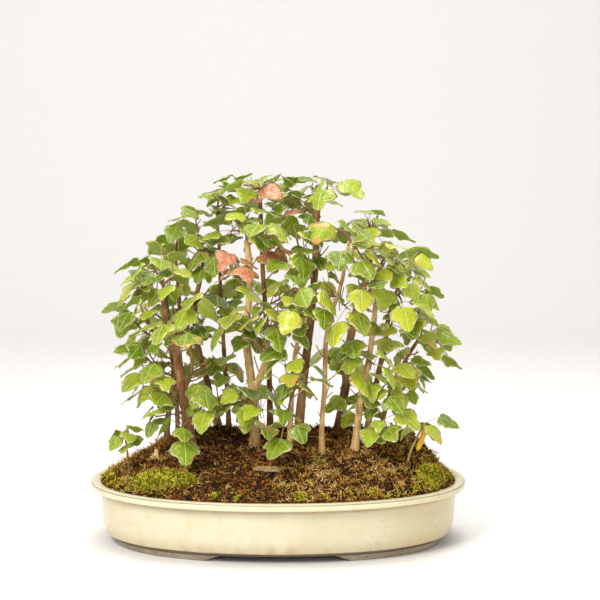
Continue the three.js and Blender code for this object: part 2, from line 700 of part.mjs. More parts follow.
// The stalk runs from a four-cornered patch of the twig to the foot of the blade, where its
// faces are mitred to the blade's. A patch without a leaf is closed.
function addLeaf(skin, patch, leaf) {
  if (!leaf) {
    skin.addPatch(patch);
    return;
  }
  const { stalk, normal } = leaf;
  const stalkNormal = normal.clone().addScaledVector(stalk, -normal.dot(stalk)).normalize();
  const mitre = normal.clone().add(stalkNormal).normalize();
  mitre.divideScalar(Math.max(mitre.dot(normal), 0.5));
  const narrow = PETIOLE_HALF_WIDTH / leaf.length;
  const right = [SHOULDER, LOBE, NOTCH].map((spot) => [...spot, normal]);
  const left = right.map(([sideways, forward, way]) => [-sideways, forward, way]).reverse();
  const outline = [[narrow, 0, mitre], ...right, [0, 1, normal], ...left, [-narrow, 0, mitre]];
  const half = LEAF_THICKNESS / 2;
  const corner = (sideways, forward, way, side) => (
    skin.addPoint(bladePoint(leaf, sideways, forward).addScaledVector(way, side * half))
  );
  const above = outline.map(([sideways, forward, way]) => corner(sideways, forward, way, 1));
  const below = outline.map(([sideways, forward, way]) => corner(sideways, forward, way, -1));
  for (const [a, b, c] of BLADE_FACES) {
    skin.triangles.push([above[a], above[b], above[c]], [below[a], below[c], below[b]]);
  }
  for (let edge = 0; edge < 8; edge++) {
    skin.addPatch([below[edge], below[edge + 1], above[edge + 1], above[edge]]);
  }
  const foot = [below[8], above[8], above[0], below[0]];
  const turned = leastTwist(skin, patch, foot);
  for (let side = 0; side < 4; side++) {
    const next = (side + 1) % 4;
    skin.addPatch([patch[side], patch[next], turned[next], turned[side]]);
  }
}

// The foot's corners in the order that brings each nearest to its corner of the patch.
function leastTwist(skin, patch, foot) {
  const distance = (a, b) => vector(skin.points[a]).distanceTo(vector(skin.points[b]));
  const orders = [0, 1, 2, 3].map((shift) => foot.map((_, side) => foot[(side + shift) % 4]));
  const twist = (order) => order.reduce((sum, index, side) => sum + distance(index, patch[side]), 0);
  return orders.reduce((best, order) => (twist(order) < twist(best) ? order : best));
}

// ---------------------------------------------------------------- twigs and shoots

// A twig bends from the way it starts to its end in one plane.
function twigCurve(start, startWay, end) {
  const bend = start.clone().addScaledVector(startWay, TWIG_BEND * start.distanceTo(end));
  return new THREE.QuadraticBezierCurve3(start, bend, end);
}

function makeTwig(start, way, end, radius) {
  const plane = new THREE.Vector3().crossVectors(way, end.clone().sub(start));
  if (plane.lengthSq() < 1) plane.set(1, 0, 0);
  const curve = twigCurve(start, way, end);
  return { curve, way, plane: plane.normalize(), radius };
}

const twigRadius = (twig, at) => mix(twig.radius[0], twig.radius[1], at);

function twigBalls(twig) {
  const start = twig.curve.getPoint(0);
  return ballsAlong(twig.curve, (at) => twigRadius(twig, at) + GAP, 2)
    .filter(([x, y, z]) => start.distanceTo(new THREE.Vector3(x, y, z)) > TWIG_FREE);
}

// The first of a few ends near the wanted one that keeps the twig clear of the others.
function growTwig(start, wayTo, wanted, radius, keys) {
  for (let attempt = 0; attempt < TRIES; attempt++) {
    const end = vector(wanted);
    end.x += (draw(...keys, attempt, 21) - 0.5) * END_SPREAD[0] * attempt;
    end.y += (draw(...keys, attempt, 22) - 0.5) * END_SPREAD[1] * attempt;
    end.z += (draw(...keys, attempt, 23) - 0.5) * END_SPREAD[2] * attempt;
    const twig = makeTwig(start, wayTo(end), end, radius);
    if (isClear(twigBalls(twig))) return twig;
  }
  return makeTwig(start, wayTo(vector(wanted)), vector(wanted), radius);
}

// Leaves stand in opposite pairs, one pair at the end and one at the middle of a longer twig,
// and one more leaf ends it.
function leafPlaces(twig, keys) {
  const reach = twig.curve.getLength();
  const turn = (place) => mix(-PAIR_TURN, PAIR_TURN, draw(...keys, 91, place));
  const single = reach > SHORT_TWIG ? [draw(...keys, 92) < 0.5 ? 1 : -1] : [];
  const sides = reach > LONG_TWIG ? [1, -1] : single;
  return [
    { at: PAIR_PLACES[0], turn: turn(1), sides },
    { at: PAIR_PLACES[1], turn: turn(0), sides: [1, -1] },
  ];
}

function asideOf(twig, at, turn) {
  const aside = twig.plane.clone().multiplyScalar(Math.cos(turn));
  aside.addScaledVector(new THREE.Vector3().crossVectors(heading(twig.curve, at), twig.plane), Math.sin(turn));
  return aside;
}

function growLeaves(twig, keys) {
  twig.nodes = leafPlaces(twig, keys);
  twig.nodes.forEach((node, index) => {
    const along = heading(twig.curve, node.at);
    const root = twig.curve.getPoint(node.at);
    const aside = asideOf(twig, node.at, node.turn);
    node.leaves = [1, -1].map((side) => {
      if (!node.sides.includes(side)) return null;
      const faceWay = aside.clone().multiplyScalar(side);
      const way = faceWay.clone().addScaledVector(along, PAIR_AHEAD);
      way.addScaledVector(UP, STALK_LIFT).normalize();
      return growLeaf(root, way, faceWay, [...keys, index, side + 1], LEAF_LENGTH);
    });
  });
  const end = heading(twig.curve, 1);
  const way = end.clone().addScaledVector(UP, STALK_LIFT).normalize();
  twig.last = growLeaf(twig.curve.getPoint(1), way, end, [...keys, 7], LEAF_LENGTH);
}

// A four-sided tube: a short stretch where a pair stands has a leaf on two of its faces, and
// the last leaf grows out of the end.
function twigSolid(twig) {
  const skin = new Skin();
  const stations = [{ at: 0, turn: 0 }];
  if (twig.radius === TWIG_RADIUS) stations.push({ at: FORK_AT, turn: 0 });
  const share = NODE_LENGTH / twig.curve.getLength();
  for (const node of twig.nodes) {
    stations.push({ at: node.at - share / 2, turn: node.turn, leaves: node.leaves });
    if (node.sides.length > 0) {
      stations.push({ at: Math.min(node.at + share / 2, 1), turn: node.turn });
    }
  }
  const rings = stations.map(({ at, turn }) => {
    const along = at === 0 ? twig.way : heading(twig.curve, at);
    const first = twig.plane.clone().multiplyScalar(Math.cos(turn));
    first.addScaledVector(new THREE.Vector3().crossVectors(along, twig.plane), Math.sin(turn));
    const second = new THREE.Vector3().crossVectors(along, first);
    return [0, 1, 2, 3].map((side) => {
      const angle = (side - 0.5) * (Math.PI / 2);
      const point = twig.curve.getPoint(at);
      point.addScaledVector(first, twigRadius(twig, at) * Math.cos(angle));
      point.addScaledVector(second, twigRadius(twig, at) * Math.sin(angle));
      return skin.addPoint(point);
    });
  });
  skin.addPatch([...rings[0]].reverse());
  rings.slice(1).forEach((ring, index) => {
    const before = rings[index];
    const leaves = stations[index].leaves ?? [];
    for (let side = 0; side < 4; side++) {
      const next = (side + 1) % 4;
      const patch = [before[side], before[next], ring[next], ring[side]];
      const leaf = side % 2 === 0 ? leaves[side / 2] : null;
      addLeaf(skin, patch, leaf);
    }
  });
  addLeaf(skin, rings.at(-1), twig.last);
  return skin.solid();
}

// Where a shoot meets its limb: at the tip it carries on, elsewhere it leaves square to the
// face of the limb that looks most towards its first end.
function shootStart(limb, at, end) {
  const curve = smoothCurve(limb.points);
  const centre = curve.getPoint(at);
  const along = heading(curve, at);
  if (at === 1) {
    return { start: centre.addScaledVector(along, GAP), way: along };
  }
  const first = new THREE.Vector3().crossVectors(along, BACKWARDS).normalize();
  const second = new THREE.Vector3().crossVectors(along, first);
  const wanted = vector(end).sub(centre);
  const face = (2 * Math.PI) / TRUNK_SIDES;
  const angle = Math.atan2(wanted.dot(second), wanted.dot(first));
  const square = (Math.floor(angle / face) + 0.5) * face;
  const way = first.multiplyScalar(Math.cos(square)).addScaledVector(second, Math.sin(square));
  const out = limbRadius(limb.radius, at, 0) * Math.cos(face / 2) + GAP;
  return { start: centre.addScaledVector(way, out), way };
}

// The first twig comes from the limb and the others fork from it near its foot.
function growShoot(limbs, shoot, keys) {
  const { start, way } = shootStart(limbs[shoot.limb], shoot.at, shoot.ends[0]);
  const main = growTwig(start, () => way, shoot.ends[0], TWIG_RADIUS, [...keys, 0]);
  const fork = main.curve.getPoint(FORK_AT);
  const ahead = heading(main.curve, FORK_AT);
  const wayTo = (end) => {
    const straight = end.clone().sub(fork).normalize();
    return straight.addScaledVector(ahead, PAIR_AHEAD).normalize();
  };
  const others = shoot.ends.slice(1).map((end, index) => (
    growTwig(fork, wayTo, end, FORK_RADIUS, [...keys, index + 1])
  ));
  const twigs = [main, ...others];
  twigs.forEach((twig) => balls.push(...twigBalls(twig)));
  return twigs;
}

// ---------------------------------------------------------------- planting

let soil = soilSolid().subtract(meshPocket(-1)).subtract(meshPocket(1));

function plant(name, { limbs, shoots: attached }) {
  const parts = limbs.map((limb, index) => {
    const places = attached.filter((shoot) => shoot.limb === index).map((shoot) => shoot.at);
    return solidOf(limbGeometry(limb, index === 0, places));
  });
  soil = soil.subtract(solidOf(limbGeometry(limbs[0], true, [], GAP)));
  limbs.forEach((limb) => {
    const radiusAt = (at) => limbRadius(limb.radius, at, 0) * 1.1 + GAP;
    balls.push(...ballsAlong(smoothCurve(limb.points), radiusAt, 2));
  });
  place(`${name}_trunk`, fuse(parts), 'bark');
}

Object.entries(TREES).forEach(([name, tree]) => plant(name, tree));

// All twigs are laid out first, then the leaves find their room between them.
const shoots = Object.entries(TREES).flatMap(([name, tree], treeIndex) => (
  tree.shoots.map((shoot, index) => {
    const keys = [treeIndex, index];
    const twigs = growShoot(tree.limbs, shoot, keys);
    return { name: `${name}_shoot_${index + 1}`, twigs, keys, leaf: shoot.leaf ?? 'green' };
  })
));
shoots.forEach(({ name, twigs, keys, leaf }) => {
  twigs.forEach((twig, index) => growLeaves(twig, [...keys, index]));
  place(name, fuse(twigs.map(twigSolid)), leaf);
});

// A sapling's leaves stand round its stem in a spiral.
function saplingSolid(sapling, key) {
  const curve = smoothCurve(sapling.points);
  const parts = [solidOf(limbGeometry(sapling, true))];
  for (let index = 0; index < sapling.leaves; index++) {
    const at = mix(0.98, 0.7, index / sapling.leaves);
    const turn = index * 2.4 + 0.4;
    const way = new THREE.Vector3(Math.cos(turn), Math.sin(turn), 0.35).normalize();
    const root = curve.getPoint(at);
    const leaf = growLeaf(root, way, way, [key, index], sapling.length);
    if (leaf) parts.push(sunkLeaf(leaf));
  }
  return fuse(parts);
}

// A leaf by itself, its stalk starting inside the stem.
function sunkLeaf(leaf) {
  const skin = new Skin();
  const up = leaf.normal.clone().addScaledVector(leaf.stalk, -leaf.normal.dot(leaf.stalk)).normalize();
  const across = new THREE.Vector3().crossVectors(leaf.stalk, up);
  const patch = [[-1, -1], [-1, 1], [1, 1], [1, -1]].map(([sideways, high]) => {
    const point = leaf.root.clone().addScaledVector(across, sideways * PETIOLE_HALF_WIDTH);
    return skin.addPoint(point.addScaledVector(up, (high * LEAF_THICKNESS) / 2));
  });
  skin.addPatch([...patch].reverse());
  addLeaf(skin, patch, leaf);
  return skin.solid();
}

Object.entries(SAPLINGS).forEach(([name, sapling], index) => {
  soil = soil.subtract(solidOf(limbGeometry(sapling, true, [], GAP)));
  place(name, saplingSolid(sapling, 50 + index), 'green');
});

// ---------------------------------------------------------------- what lies on the soil

// A pillow of moss whose underside follows the soil just above it.
function mossSolid({ at, half, turn, height }) {
  const rings = [];
  const sides = 14;
  const levels = [[1, -0.6], [1, 0.25], [0.82, 0.75], [0.45, 1]];
  for (const [shrink, rise] of levels) {
    const ring = [];
    for (let side = 0; side < sides; side++) {
      const angle = (2 * Math.PI * side) / sides;
      const wave = 1 + 0.1 * Math.sin(3 * angle + 1) + 0.06 * Math.sin(5 * angle);
      const along = half[0] * shrink * wave * Math.cos(angle);
      const aside = half[1] * shrink * wave * Math.sin(angle);
      const x = at[0] + along * Math.cos(turn) - aside * Math.sin(turn);
      const y = at[1] + along * Math.sin(turn) + aside * Math.cos(turn);
      ring.push([x, y, moundHeight(x, y) + height * rise]);
    }
    rings.push(ring);
  }
  return solidOf(loft(rings));
}

function chipSolid({ at, length, width, height, turn }) {
  const outline = new THREE.Shape();
  outline.moveTo(-length / 2, 0);
  outline.quadraticCurveTo(-length / 4, -width * 0.55, length * 0.1, -width / 2);
  outline.lineTo(length / 2, -width * 0.2);
  outline.lineTo(length * 0.46, width * 0.3);
  outline.quadraticCurveTo(0, width * 0.6, -length / 2, 0);
  const chip = new THREE.ExtrudeGeometry(outline, { depth: 6, bevelEnabled: false, curveSegments: 5 });
  const slope = Math.atan((moundHeight(at[0], at[1] + 4) - moundHeight(at[0], at[1] - 4)) / 8);
  chip.translate(0, 0, height - 6);
  chip.rotateX(slope);
  chip.rotateZ(turn);
  chip.translate(at[0], at[1], moundHeight(...at) + 1);
  return solidOf(chip);
}

const raisedSoil = soilSolid(GAP);
Object.entries(MOSSES).forEach(([name, moss]) => {
  place(name, mossSolid(moss).subtract(raisedSoil), 'moss');
});
place('bark_chip', chipSolid(BARK_CHIP).subtract(raisedSoil), 'chip');
place('soil', soil, 'soil');

export default model;
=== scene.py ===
# %% [markdown]
# # A forest planting of small maples in an oval pot
#
# Fourteen slender trident maples and two saplings stand in one shallow pot with a cream
# glaze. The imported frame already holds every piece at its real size. This lesson gives each
# piece the surface that the real one has: glaze, bare clay, bark, moss, and leaves with
# veins and pale margins. Lengths are worked out in millimetres and turned into metres when
# a mesh is made.

# %% The frame
import json
import math
import bpy
import numpy as np
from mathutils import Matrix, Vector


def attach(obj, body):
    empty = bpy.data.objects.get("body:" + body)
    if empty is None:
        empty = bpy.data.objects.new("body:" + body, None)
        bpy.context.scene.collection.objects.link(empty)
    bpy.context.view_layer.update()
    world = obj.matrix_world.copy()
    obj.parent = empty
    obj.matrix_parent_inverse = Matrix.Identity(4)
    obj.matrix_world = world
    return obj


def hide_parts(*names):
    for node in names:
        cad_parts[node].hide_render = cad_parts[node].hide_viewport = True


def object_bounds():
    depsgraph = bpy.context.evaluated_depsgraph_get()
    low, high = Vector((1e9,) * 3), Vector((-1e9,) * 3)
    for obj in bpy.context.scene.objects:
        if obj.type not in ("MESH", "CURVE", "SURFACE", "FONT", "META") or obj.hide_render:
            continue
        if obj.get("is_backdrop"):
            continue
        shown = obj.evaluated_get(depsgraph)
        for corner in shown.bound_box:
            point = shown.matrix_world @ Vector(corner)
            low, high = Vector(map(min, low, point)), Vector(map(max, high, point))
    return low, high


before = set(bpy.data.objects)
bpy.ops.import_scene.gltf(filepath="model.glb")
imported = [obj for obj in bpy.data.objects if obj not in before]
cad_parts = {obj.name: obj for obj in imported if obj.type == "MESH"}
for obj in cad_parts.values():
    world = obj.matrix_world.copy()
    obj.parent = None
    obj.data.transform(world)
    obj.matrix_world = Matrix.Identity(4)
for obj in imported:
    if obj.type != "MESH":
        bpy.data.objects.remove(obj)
frame_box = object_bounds()
print("frame box in m", [[round(v, 4) for v in corner] for corner in frame_box])

# %% [markdown]
# ## Camera and light
#
# The pot is seen from 1.9 m in front, looking seven degrees down. Soft daylight on a pale
# sweep could come from a sky picture, but a few big area lamps show gloss on the glaze and
# the leaves better, so there are three of them and a dim white surrounding.

# %% Camera
eye = bpy.data.objects.new("eye", bpy.data.cameras.new("eye"))
bpy.context.scene.collection.objects.link(eye)
FOCAL_SHARE = 1786 / 600  # the focal length over the picture's width
SENSOR = 36
DEGREES_DOWN = 6.91
eye.data.sensor_width = SENSOR
eye.data.lens = SENSOR * FOCAL_SHARE
eye.location = (0.0233, -1.879, 0.485)
eye.rotation_euler = (math.radians(90 - DEGREES_DOWN), 0, 0)
bpy.context.scene.camera = eye
print("lens", round(eye.data.lens, 1), "mm")

# %% Lamps
WARM_WHITE = (1, 0.985, 0.96)


def area_lamp(name, place, target, size, watts, colour=(1, 1, 1)):
    """A square lamp at place that faces target."""
    lamp = bpy.data.objects.new(name, bpy.data.lights.new(name, "AREA"))
    lamp.data.size = size
    lamp.data.energy = watts
    lamp.data.color = colour
    lamp.location = place
    way = np.array(target) - np.array(place)
    lamp.rotation_euler = (
        math.acos(-way[2] / np.linalg.norm(way)), 0, math.atan2(-way[0], way[1]))
    bpy.context.scene.collection.objects.link(lamp)
    return lamp


area_lamp("window_light", (-0.9, -1.5, 1.5), (0, 0, 0.18), 0.8, 37, WARM_WHITE)
area_lamp("front_fill", (1.2, -1.7, 0.8), (0, 0, 0.15), 1.2, 8)
area_lamp("top_light", (0.1, 0.15, 1.7), (0, 0, 0.2), 0.9, 18)

surround = bpy.data.worlds.new("surround")
surround.use_nodes = True
sky = surround.node_tree.nodes["Background"]
sky.inputs["Color"].default_value = (*WARM_WHITE, 1)
sky.inputs["Strength"].default_value = 0.6
bpy.context.scene.world = surround
bpy.context.scene.view_settings.view_transform = "Standard"

# %% [markdown]
# ## Meshes from arrays
#
# Nearly everything here is a loft: rings that follow one another along a path. One function
# joins the rings of many bodies at once, so a whole crown of leaves is a single array.

# %% A mesh from points and faces
MM = 0.001
print("a millimetre is", MM, "in the scene")


def make_mesh(name, points, quads, triangles, values=None, uv=None):
    """Points in mm, faces as rows of point numbers, values by name with one for each point."""
    mesh = bpy.data.meshes.new(name)
    mesh.vertices.add(len(points))
    mesh.vertices.foreach_set("co", (np.asarray(points, float) * MM).ravel())
    corners = np.concatenate([quads.ravel(), triangles.ravel()]).astype(np.int32)
    sizes = np.concatenate([np.full(len(quads), 4), np.full(len(triangles), 3)])
    starts = np.concatenate([[0], np.cumsum(sizes)[:-1]]).astype(np.int32)
    mesh.loops.add(len(corners))
    mesh.loops.foreach_set("vertex_index", corners)
    mesh.polygons.add(len(sizes))
    mesh.polygons.foreach_set("loop_start", starts)
    mesh.polygons.foreach_set("use_smooth", np.ones(len(sizes), bool))
    for key, numbers in (values or {}).items():
        layer = mesh.attributes.new(key, "FLOAT", "POINT")
        layer.data.foreach_set("value", np.asarray(numbers, np.float32))
    if uv is not None:
        layer = mesh.uv_layers.new(name="blade")
        layer.data.foreach_set("uv", np.asarray(uv, np.float32)[corners].ravel())
    mesh.update(calc_edges=True)
    mesh.validate()
    return mesh


# %% Rings joined to closed bodies
def loft(rings):
    """Rings as an array (bodies, rings, sides, 3) give points and faces of closed bodies.

    A quad joins each side to the same side of the next ring, and a fan of triangles round
    the middle of the first and last ring closes the ends.
    """
    bodies, count, sides, _ = rings.shape
    ends = rings[:, [0, -1]].mean(axis=2)
    points = np.concatenate([rings.reshape(bodies, -1, 3), ends], axis=1)
    number = np.arange(count * sides).reshape(count, sides)
    beside = np.roll(number, -1, axis=1)
    quads = np.stack([number[:-1], beside[:-1], beside[1:], number[1:]], axis=-1)
    first = np.full(sides, count * sides)
    fans = np.concatenate([
        np.stack([beside[0], number[0], first], axis=-1),
        np.stack([number[-1], beside[-1], first + 1], axis=-1)])
    step = (np.arange(bodies) * (count * sides + 2))[:, None, None]
    quads = (quads.reshape(1, -1, 4) + step).reshape(-1, 4)
    return points.reshape(-1, 3), quads, (fans[None] + step).reshape(-1, 3)


def loft_values(values):
    """Numbers (bodies, rings, sides) in the order of the points that loft makes."""
    ends = values[:, [0, -1]].mean(axis=2)
    return np.concatenate([values.reshape(len(values), -1), ends], axis=1).ravel()


print("12 rings of 8 sides:", len(loft(np.zeros((1, 12, 8, 3)))[0]), "points")

# %% Pieces gathered from several lofts
class Bundle:
    """Gathers points and faces, each batch with a finish and values, into one piece."""

    def __init__(self):
        self.batches = []

    def add(self, surface, finish=0, uv=None, **values):
        """A surface is points, quads and triangles, as loft gives them."""
        self.batches.append((surface, finish, uv, values))

    def piece(self, name, finishes, slot, replaces=()):
        """All batches in one mesh: each batch's faces are counted on from the points of the
        batches before it, and a value that a batch doesn't have is 0 there."""
        counts = [len(surface[0]) for surface, *_ in self.batches]
        offsets = np.concatenate([[0], np.cumsum(counts)[:-1]])
        points = np.concatenate([surface[0] for surface, *_ in self.batches])
        quads = np.concatenate([b[0][1] + o for b, o in zip(self.batches, offsets)])
        triangles = np.concatenate([b[0][2] + o for b, o in zip(self.batches, offsets)])
        keys = sorted({key for *_, values in self.batches for key in values})
        values = {key: np.concatenate([
            np.broadcast_to(b[3].get(key, 0.0), n) for b, n in zip(self.batches, counts)])
            for key in keys}
        uv = None
        if any(b[2] is not None for b in self.batches):
            uv = np.concatenate([
                np.zeros((n, 2)) if b[2] is None else b[2]
                for b, n in zip(self.batches, counts)])
        mesh = make_mesh(name, points, quads, triangles, values, uv)
        chosen = np.concatenate([np.full(len(b[0][1]), b[1]) for b in self.batches]
                                + [np.full(len(b[0][2]), b[1]) for b in self.batches])
        for finish in finishes:
            mesh.materials.append(finish)
        mesh.polygons.foreach_set("material_index", chosen.astype(np.int32))
        return place_piece(name, mesh, replaces)


def place_piece(name, mesh, replaces=()):
    piece = bpy.data.objects.new(name, mesh)
    bpy.context.scene.collection.objects.link(piece)
    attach(piece, "root")
    if replaces:
        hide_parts(*replaces)
    mesh.calc_loop_triangles()
    print(name, len(mesh.loop_triangles), "triangles")
    return piece


# %% Waves for uneven surfaces
WAVES = 14


def ripple(points, size, seed):
    """Between about -1 and 1: a sum of fourteen waves of random direction, size mm long."""
    rng = np.random.default_rng(seed)
    ways = rng.normal(size=(WAVES, 3))
    ways /= np.linalg.norm(ways, axis=1, keepdims=True)
    lengths = size * rng.uniform(0.7, 1.5, WAVES)
    phases = rng.uniform(0, 2 * np.pi, WAVES)
    waves = np.sin(points @ (2 * np.pi * ways / lengths[:, None]).T + phases)
    return waves.sum(axis=-1) / 5


def smoothstep(low, high, x):
    """0 at low, 1 at high and s s (3 - 2 s) of the share s of the way between."""
    share = np.clip((x - low) / (high - low), 0, 1)
    return share * share * (3 - 2 * share)


def unit(vectors):
    """Each vector divided by its length."""
    return vectors / np.linalg.norm(vectors, axis=-1, keepdims=True)


def around(sides):
    """Angles that divide a full turn evenly."""
    return 2 * np.pi * np.arange(sides) / sides


print("a ripple at four places", ripple(np.eye(4, 3) * 5, 10, 1).round(2))

# %% [markdown]
# ## Shader maths
#
# A finish is a small web of nodes. Written as sums and products in Python it stays
# readable: one class wraps a node's socket, and adding or multiplying two of them adds a
# Math node.

# %% Values
class Value:
    """A socket in a finish; arithmetic on it adds Math nodes."""

    def __init__(self, finish, socket):
        self.finish = finish
        self.socket = socket

    def math(self, operation, *others):
        """A Math node on this value and the others, which may be plain numbers."""
        inputs = dict(enumerate((self,) + others))
        return self.finish.node("Math", {"operation": operation}, inputs)

    def __add__(self, other):
        return self.math("ADD", other)

    def __mul__(self, other):
        return self.math("MULTIPLY", other)

    def __sub__(self, other):
        return self.math("SUBTRACT", other)

    def __rsub__(self, other):
        return self.finish.node("Math", {"operation": "SUBTRACT"}, {0: other, 1: self})

    __radd__ = __add__
    __rmul__ = __mul__

    def rise(self, low, high):
        """0 below low, 1 above high and a smooth climb between."""
        return self.finish.node(
            "MapRange", {"interpolation_type": "SMOOTHSTEP"},
            {"Value": self, "From Min": low, "From Max": high})


# %% Finishes
class Finish:
    """One material: its node method makes a node and returns the output that is wanted."""

    def __init__(self, name):
        self.material = bpy.data.materials.new(name)
        self.material.use_nodes = True
        self.tree = self.material.node_tree
        self.tree.nodes.clear()

    def node(self, kind, settings=None, inputs=None, output=0):
        """A node of a kind: its settings are set first, then its inputs by name or number."""
        node = self.tree.nodes.new("ShaderNode" + kind)
        for key, setting in (settings or {}).items():
            if key == "stops":
                self.set_stops(node.color_ramp.elements, setting)
            else:
                setattr(node, key, setting)
        for key, value in (inputs or {}).items():
            if isinstance(value, Value):
                self.tree.links.new(value.socket, node.inputs[key])
            else:
                node.inputs[key].default_value = value
        return Value(self, node.outputs[output])

    @staticmethod
    def set_stops(elements, stops):
        while len(elements) < len(stops):
            elements.new(0.5)
        for element, (position, colour) in zip(elements, stops):
            element.position = position
            element.color = (*colour, 1)

    def object_place(self, stretch=(1, 1, 1)):
        """Object coordinates in metres, each axis multiplied by its stretch."""
        place = self.node("TexCoord", output="Object")
        return self.node("Mapping", None, {"Vector": place, "Scale": stretch})

    def noise(self, place, scale, detail=3.0, roughness=0.55):
        """Cloudy values about 0.5, with clouds about 1 / scale metres wide."""
        return self.node("TexNoise", None, {
            "Vector": place, "Scale": scale, "Detail": detail, "Roughness": roughness},
            output="Fac")

    def attribute(self, name):
        """The value of that name that the mesh carries at each point."""
        return self.node("Attribute", {"attribute_name": name}, output="Fac")

    def blend(self, share, low, high):
        """The colour low where share is 0, high where it is 1."""
        colours = {key: value if isinstance(value, Value) else (*value, 1)
                   for key, value in ((6, low), (7, high))}
        return self.node(
            "Mix", {"data_type": "RGBA"}, {0: share, **colours}, output=2)

    def layers(self, colour, *coats):
        """Coats laid over a colour one after another, each a share and a colour."""
        for share, coat in coats:
            colour = self.blend(share, colour, coat)
        return colour

    def bump(self, height, distance, strength=1.0):
        return self.node("Bump", None, {
            "Height": height, "Distance": distance, "Strength": strength})

    def surface(self, **inputs):
        """The shader, with its inputs by name and _ for a blank, linked to the output."""
        named = {key.replace("_", " "): value for key, value in inputs.items()}
        shader = self.node("BsdfPrincipled", None, named)
        result = self.tree.nodes.new("ShaderNodeOutputMaterial")
        self.tree.links.new(shader.socket, result.inputs["Surface"])
        print("finish", self.material.name, "with", len(self.tree.nodes), "nodes")
        return self.material


# %% The pale sweep under and behind the pot
def sweep_surface(width, front, back, rise, bend):
    """A floor that runs back and turns up into a wall along a quarter circle of radius bend."""
    turn = np.linspace(0, np.pi / 2, 24)
    depth = np.concatenate([[front], back + bend * np.sin(turn), [back + bend]])
    level = np.concatenate([[0], bend * (1 - np.cos(turn)), [rise]])
    across = np.linspace(-width, width, 8)
    points = np.stack(np.broadcast_arrays(
        across[:, None], depth[None], level[None]), axis=-1).reshape(-1, 3)
    number = np.arange(len(points)).reshape(len(across), len(depth))
    quads = np.stack([number[:-1, :-1], number[1:, :-1], number[1:, 1:], number[:-1, 1:]], -1)
    return points, quads.reshape(-1, 4), np.zeros((0, 3), int)


paper = Finish("pale_paper")
fibre = paper.noise(paper.object_place(), 40, 4)
paper_finish = paper.surface(
    Base_Color=paper.blend(fibre * 0.3, (0.87, 0.86, 0.84), (0.83, 0.82, 0.8)), Roughness=0.75,
    Normal=paper.bump(paper.noise(paper.object_place(), 600, 2), 0.0001, 0.3))
sweep = bpy.data.objects.new("sweep", make_mesh("sweep", *sweep_surface(
    4000, -2400, 1500, 2600, 700)))
sweep.data.materials.append(paper_finish)
bpy.context.scene.collection.objects.link(sweep)
sweep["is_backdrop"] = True
print("sweep", len(sweep.data.polygons), "faces")

# %% [markdown]
# ## The pot
#
# A tray pot is pressed or cast in one piece, so its wall, rim and foot are one profile
# carried round an oval. A polygon from the frame would show its forty sides, so the profile
# is carried round again in small steps. The foot's openings need no cutting: where the foot
# is open its underside is simply lifted, along a slanted end.

# %% The oval and the profile
POT = (400.0, 260.0)
OVAL_POWER = 2.17
RIM_CREST, RIM_EDGE, WALL_TOP = 66.5, 64.5, 58.4
GLAZE_LINE, FOOT_TOP, FLOOR_TOP = 11.5, 8.0, 15.0
PROFILE = [  # inset from the rim's edge, height, how round the corner is
    (37.3, FOOT_TOP, 0), (37.3, 0.0, 0.8), (25.3, 0.0, 1.0), (22.4, 6.5, 0.5),
    (23.2, 7.1, 0.3), (20.6, 7.7, 0.6), (15.4, GLAZE_LINE, 1.5), (12.2, 20.5, 5),
    (10.6, 35.5, 8), (10.0, 57.6, 0.7), (1.2, WALL_TOP, 0.8), (0.0, 60.0, 1.2),
    (0.0, RIM_EDGE, 1.4), (4.0, RIM_CREST, 1.6), (11.0, 65.5, 2.2), (17.5, 54.5, 5),
    (19.0, 29.0, 6), (28.5, FLOOR_TOP, 6)]


def rounded(corners, steps=5):
    """Each corner gives way to a short arc that starts and ends its radius before it.

    The arc is the curve (1-t)(1-t) A + 2t(1-t) corner + t t B between those two points.
    """
    places = np.array([[inset, height] for inset, height, _ in corners], float)
    found = [places[0]]
    for before, corner, after, (_, _, radius) in zip(
            places, places[1:], places[2:], corners[1:]):
        start = corner + unit(before - corner) * min(
            radius, 0.45 * np.linalg.norm(before - corner))
        stop = corner + unit(after - corner) * min(
            radius, 0.45 * np.linalg.norm(after - corner))
        t = np.linspace(0, 1, steps)[:, None]
        found.extend((1 - t) ** 2 * start + 2 * t * (1 - t) * corner + t * t * stop)
    found.append(places[-1])
    return np.array(found)


def oval(angle, inset):
    """A point of the oval at an angle: its half axes, less the inset, times the cosine and
    sine, both to the power 2 / 2.17 with their signs kept."""
    x, y = ((size / 2 - inset) * np.sign(part) * np.abs(part) ** (2 / OVAL_POWER)
            for size, part in zip(POT, (np.cos(angle), np.sin(angle))))
    return x, y


def even_angles(count):
    """Angles that divide the rim's outline into steps of the same length."""
    fine = np.linspace(0, 2 * np.pi, 20001)
    x, y = oval(fine, 12)
    travelled = np.concatenate([[0], np.cumsum(np.hypot(np.diff(x), np.diff(y)))])
    return np.interp(np.linspace(0, travelled[-1], count, endpoint=False), travelled, fine)


profile = rounded(PROFILE)
print("profile points", len(profile))


# %% The foot's openings
OPENING_HEIGHT = 7.4


def foot_lift(x, y):
    """How far the foot's underside is raised: fully between the ends of an opening, not at
    all outside it, and along a hollow slope between."""
    def opening(along, at_ground, at_top):
        slope = np.clip((at_ground - np.abs(along)) / (at_ground - at_top), 0, 1)
        return OPENING_HEIGHT * slope ** 1.35
    front = opening(x, 78, 58) * (np.abs(y) > 60)
    side = opening(y, 39, 25) * (np.abs(x) > 110)
    return np.maximum(front, side)


print("lift at x 65, 70 and 75:", foot_lift(np.array([65, 70, 75]), -100).round(1), "mm")

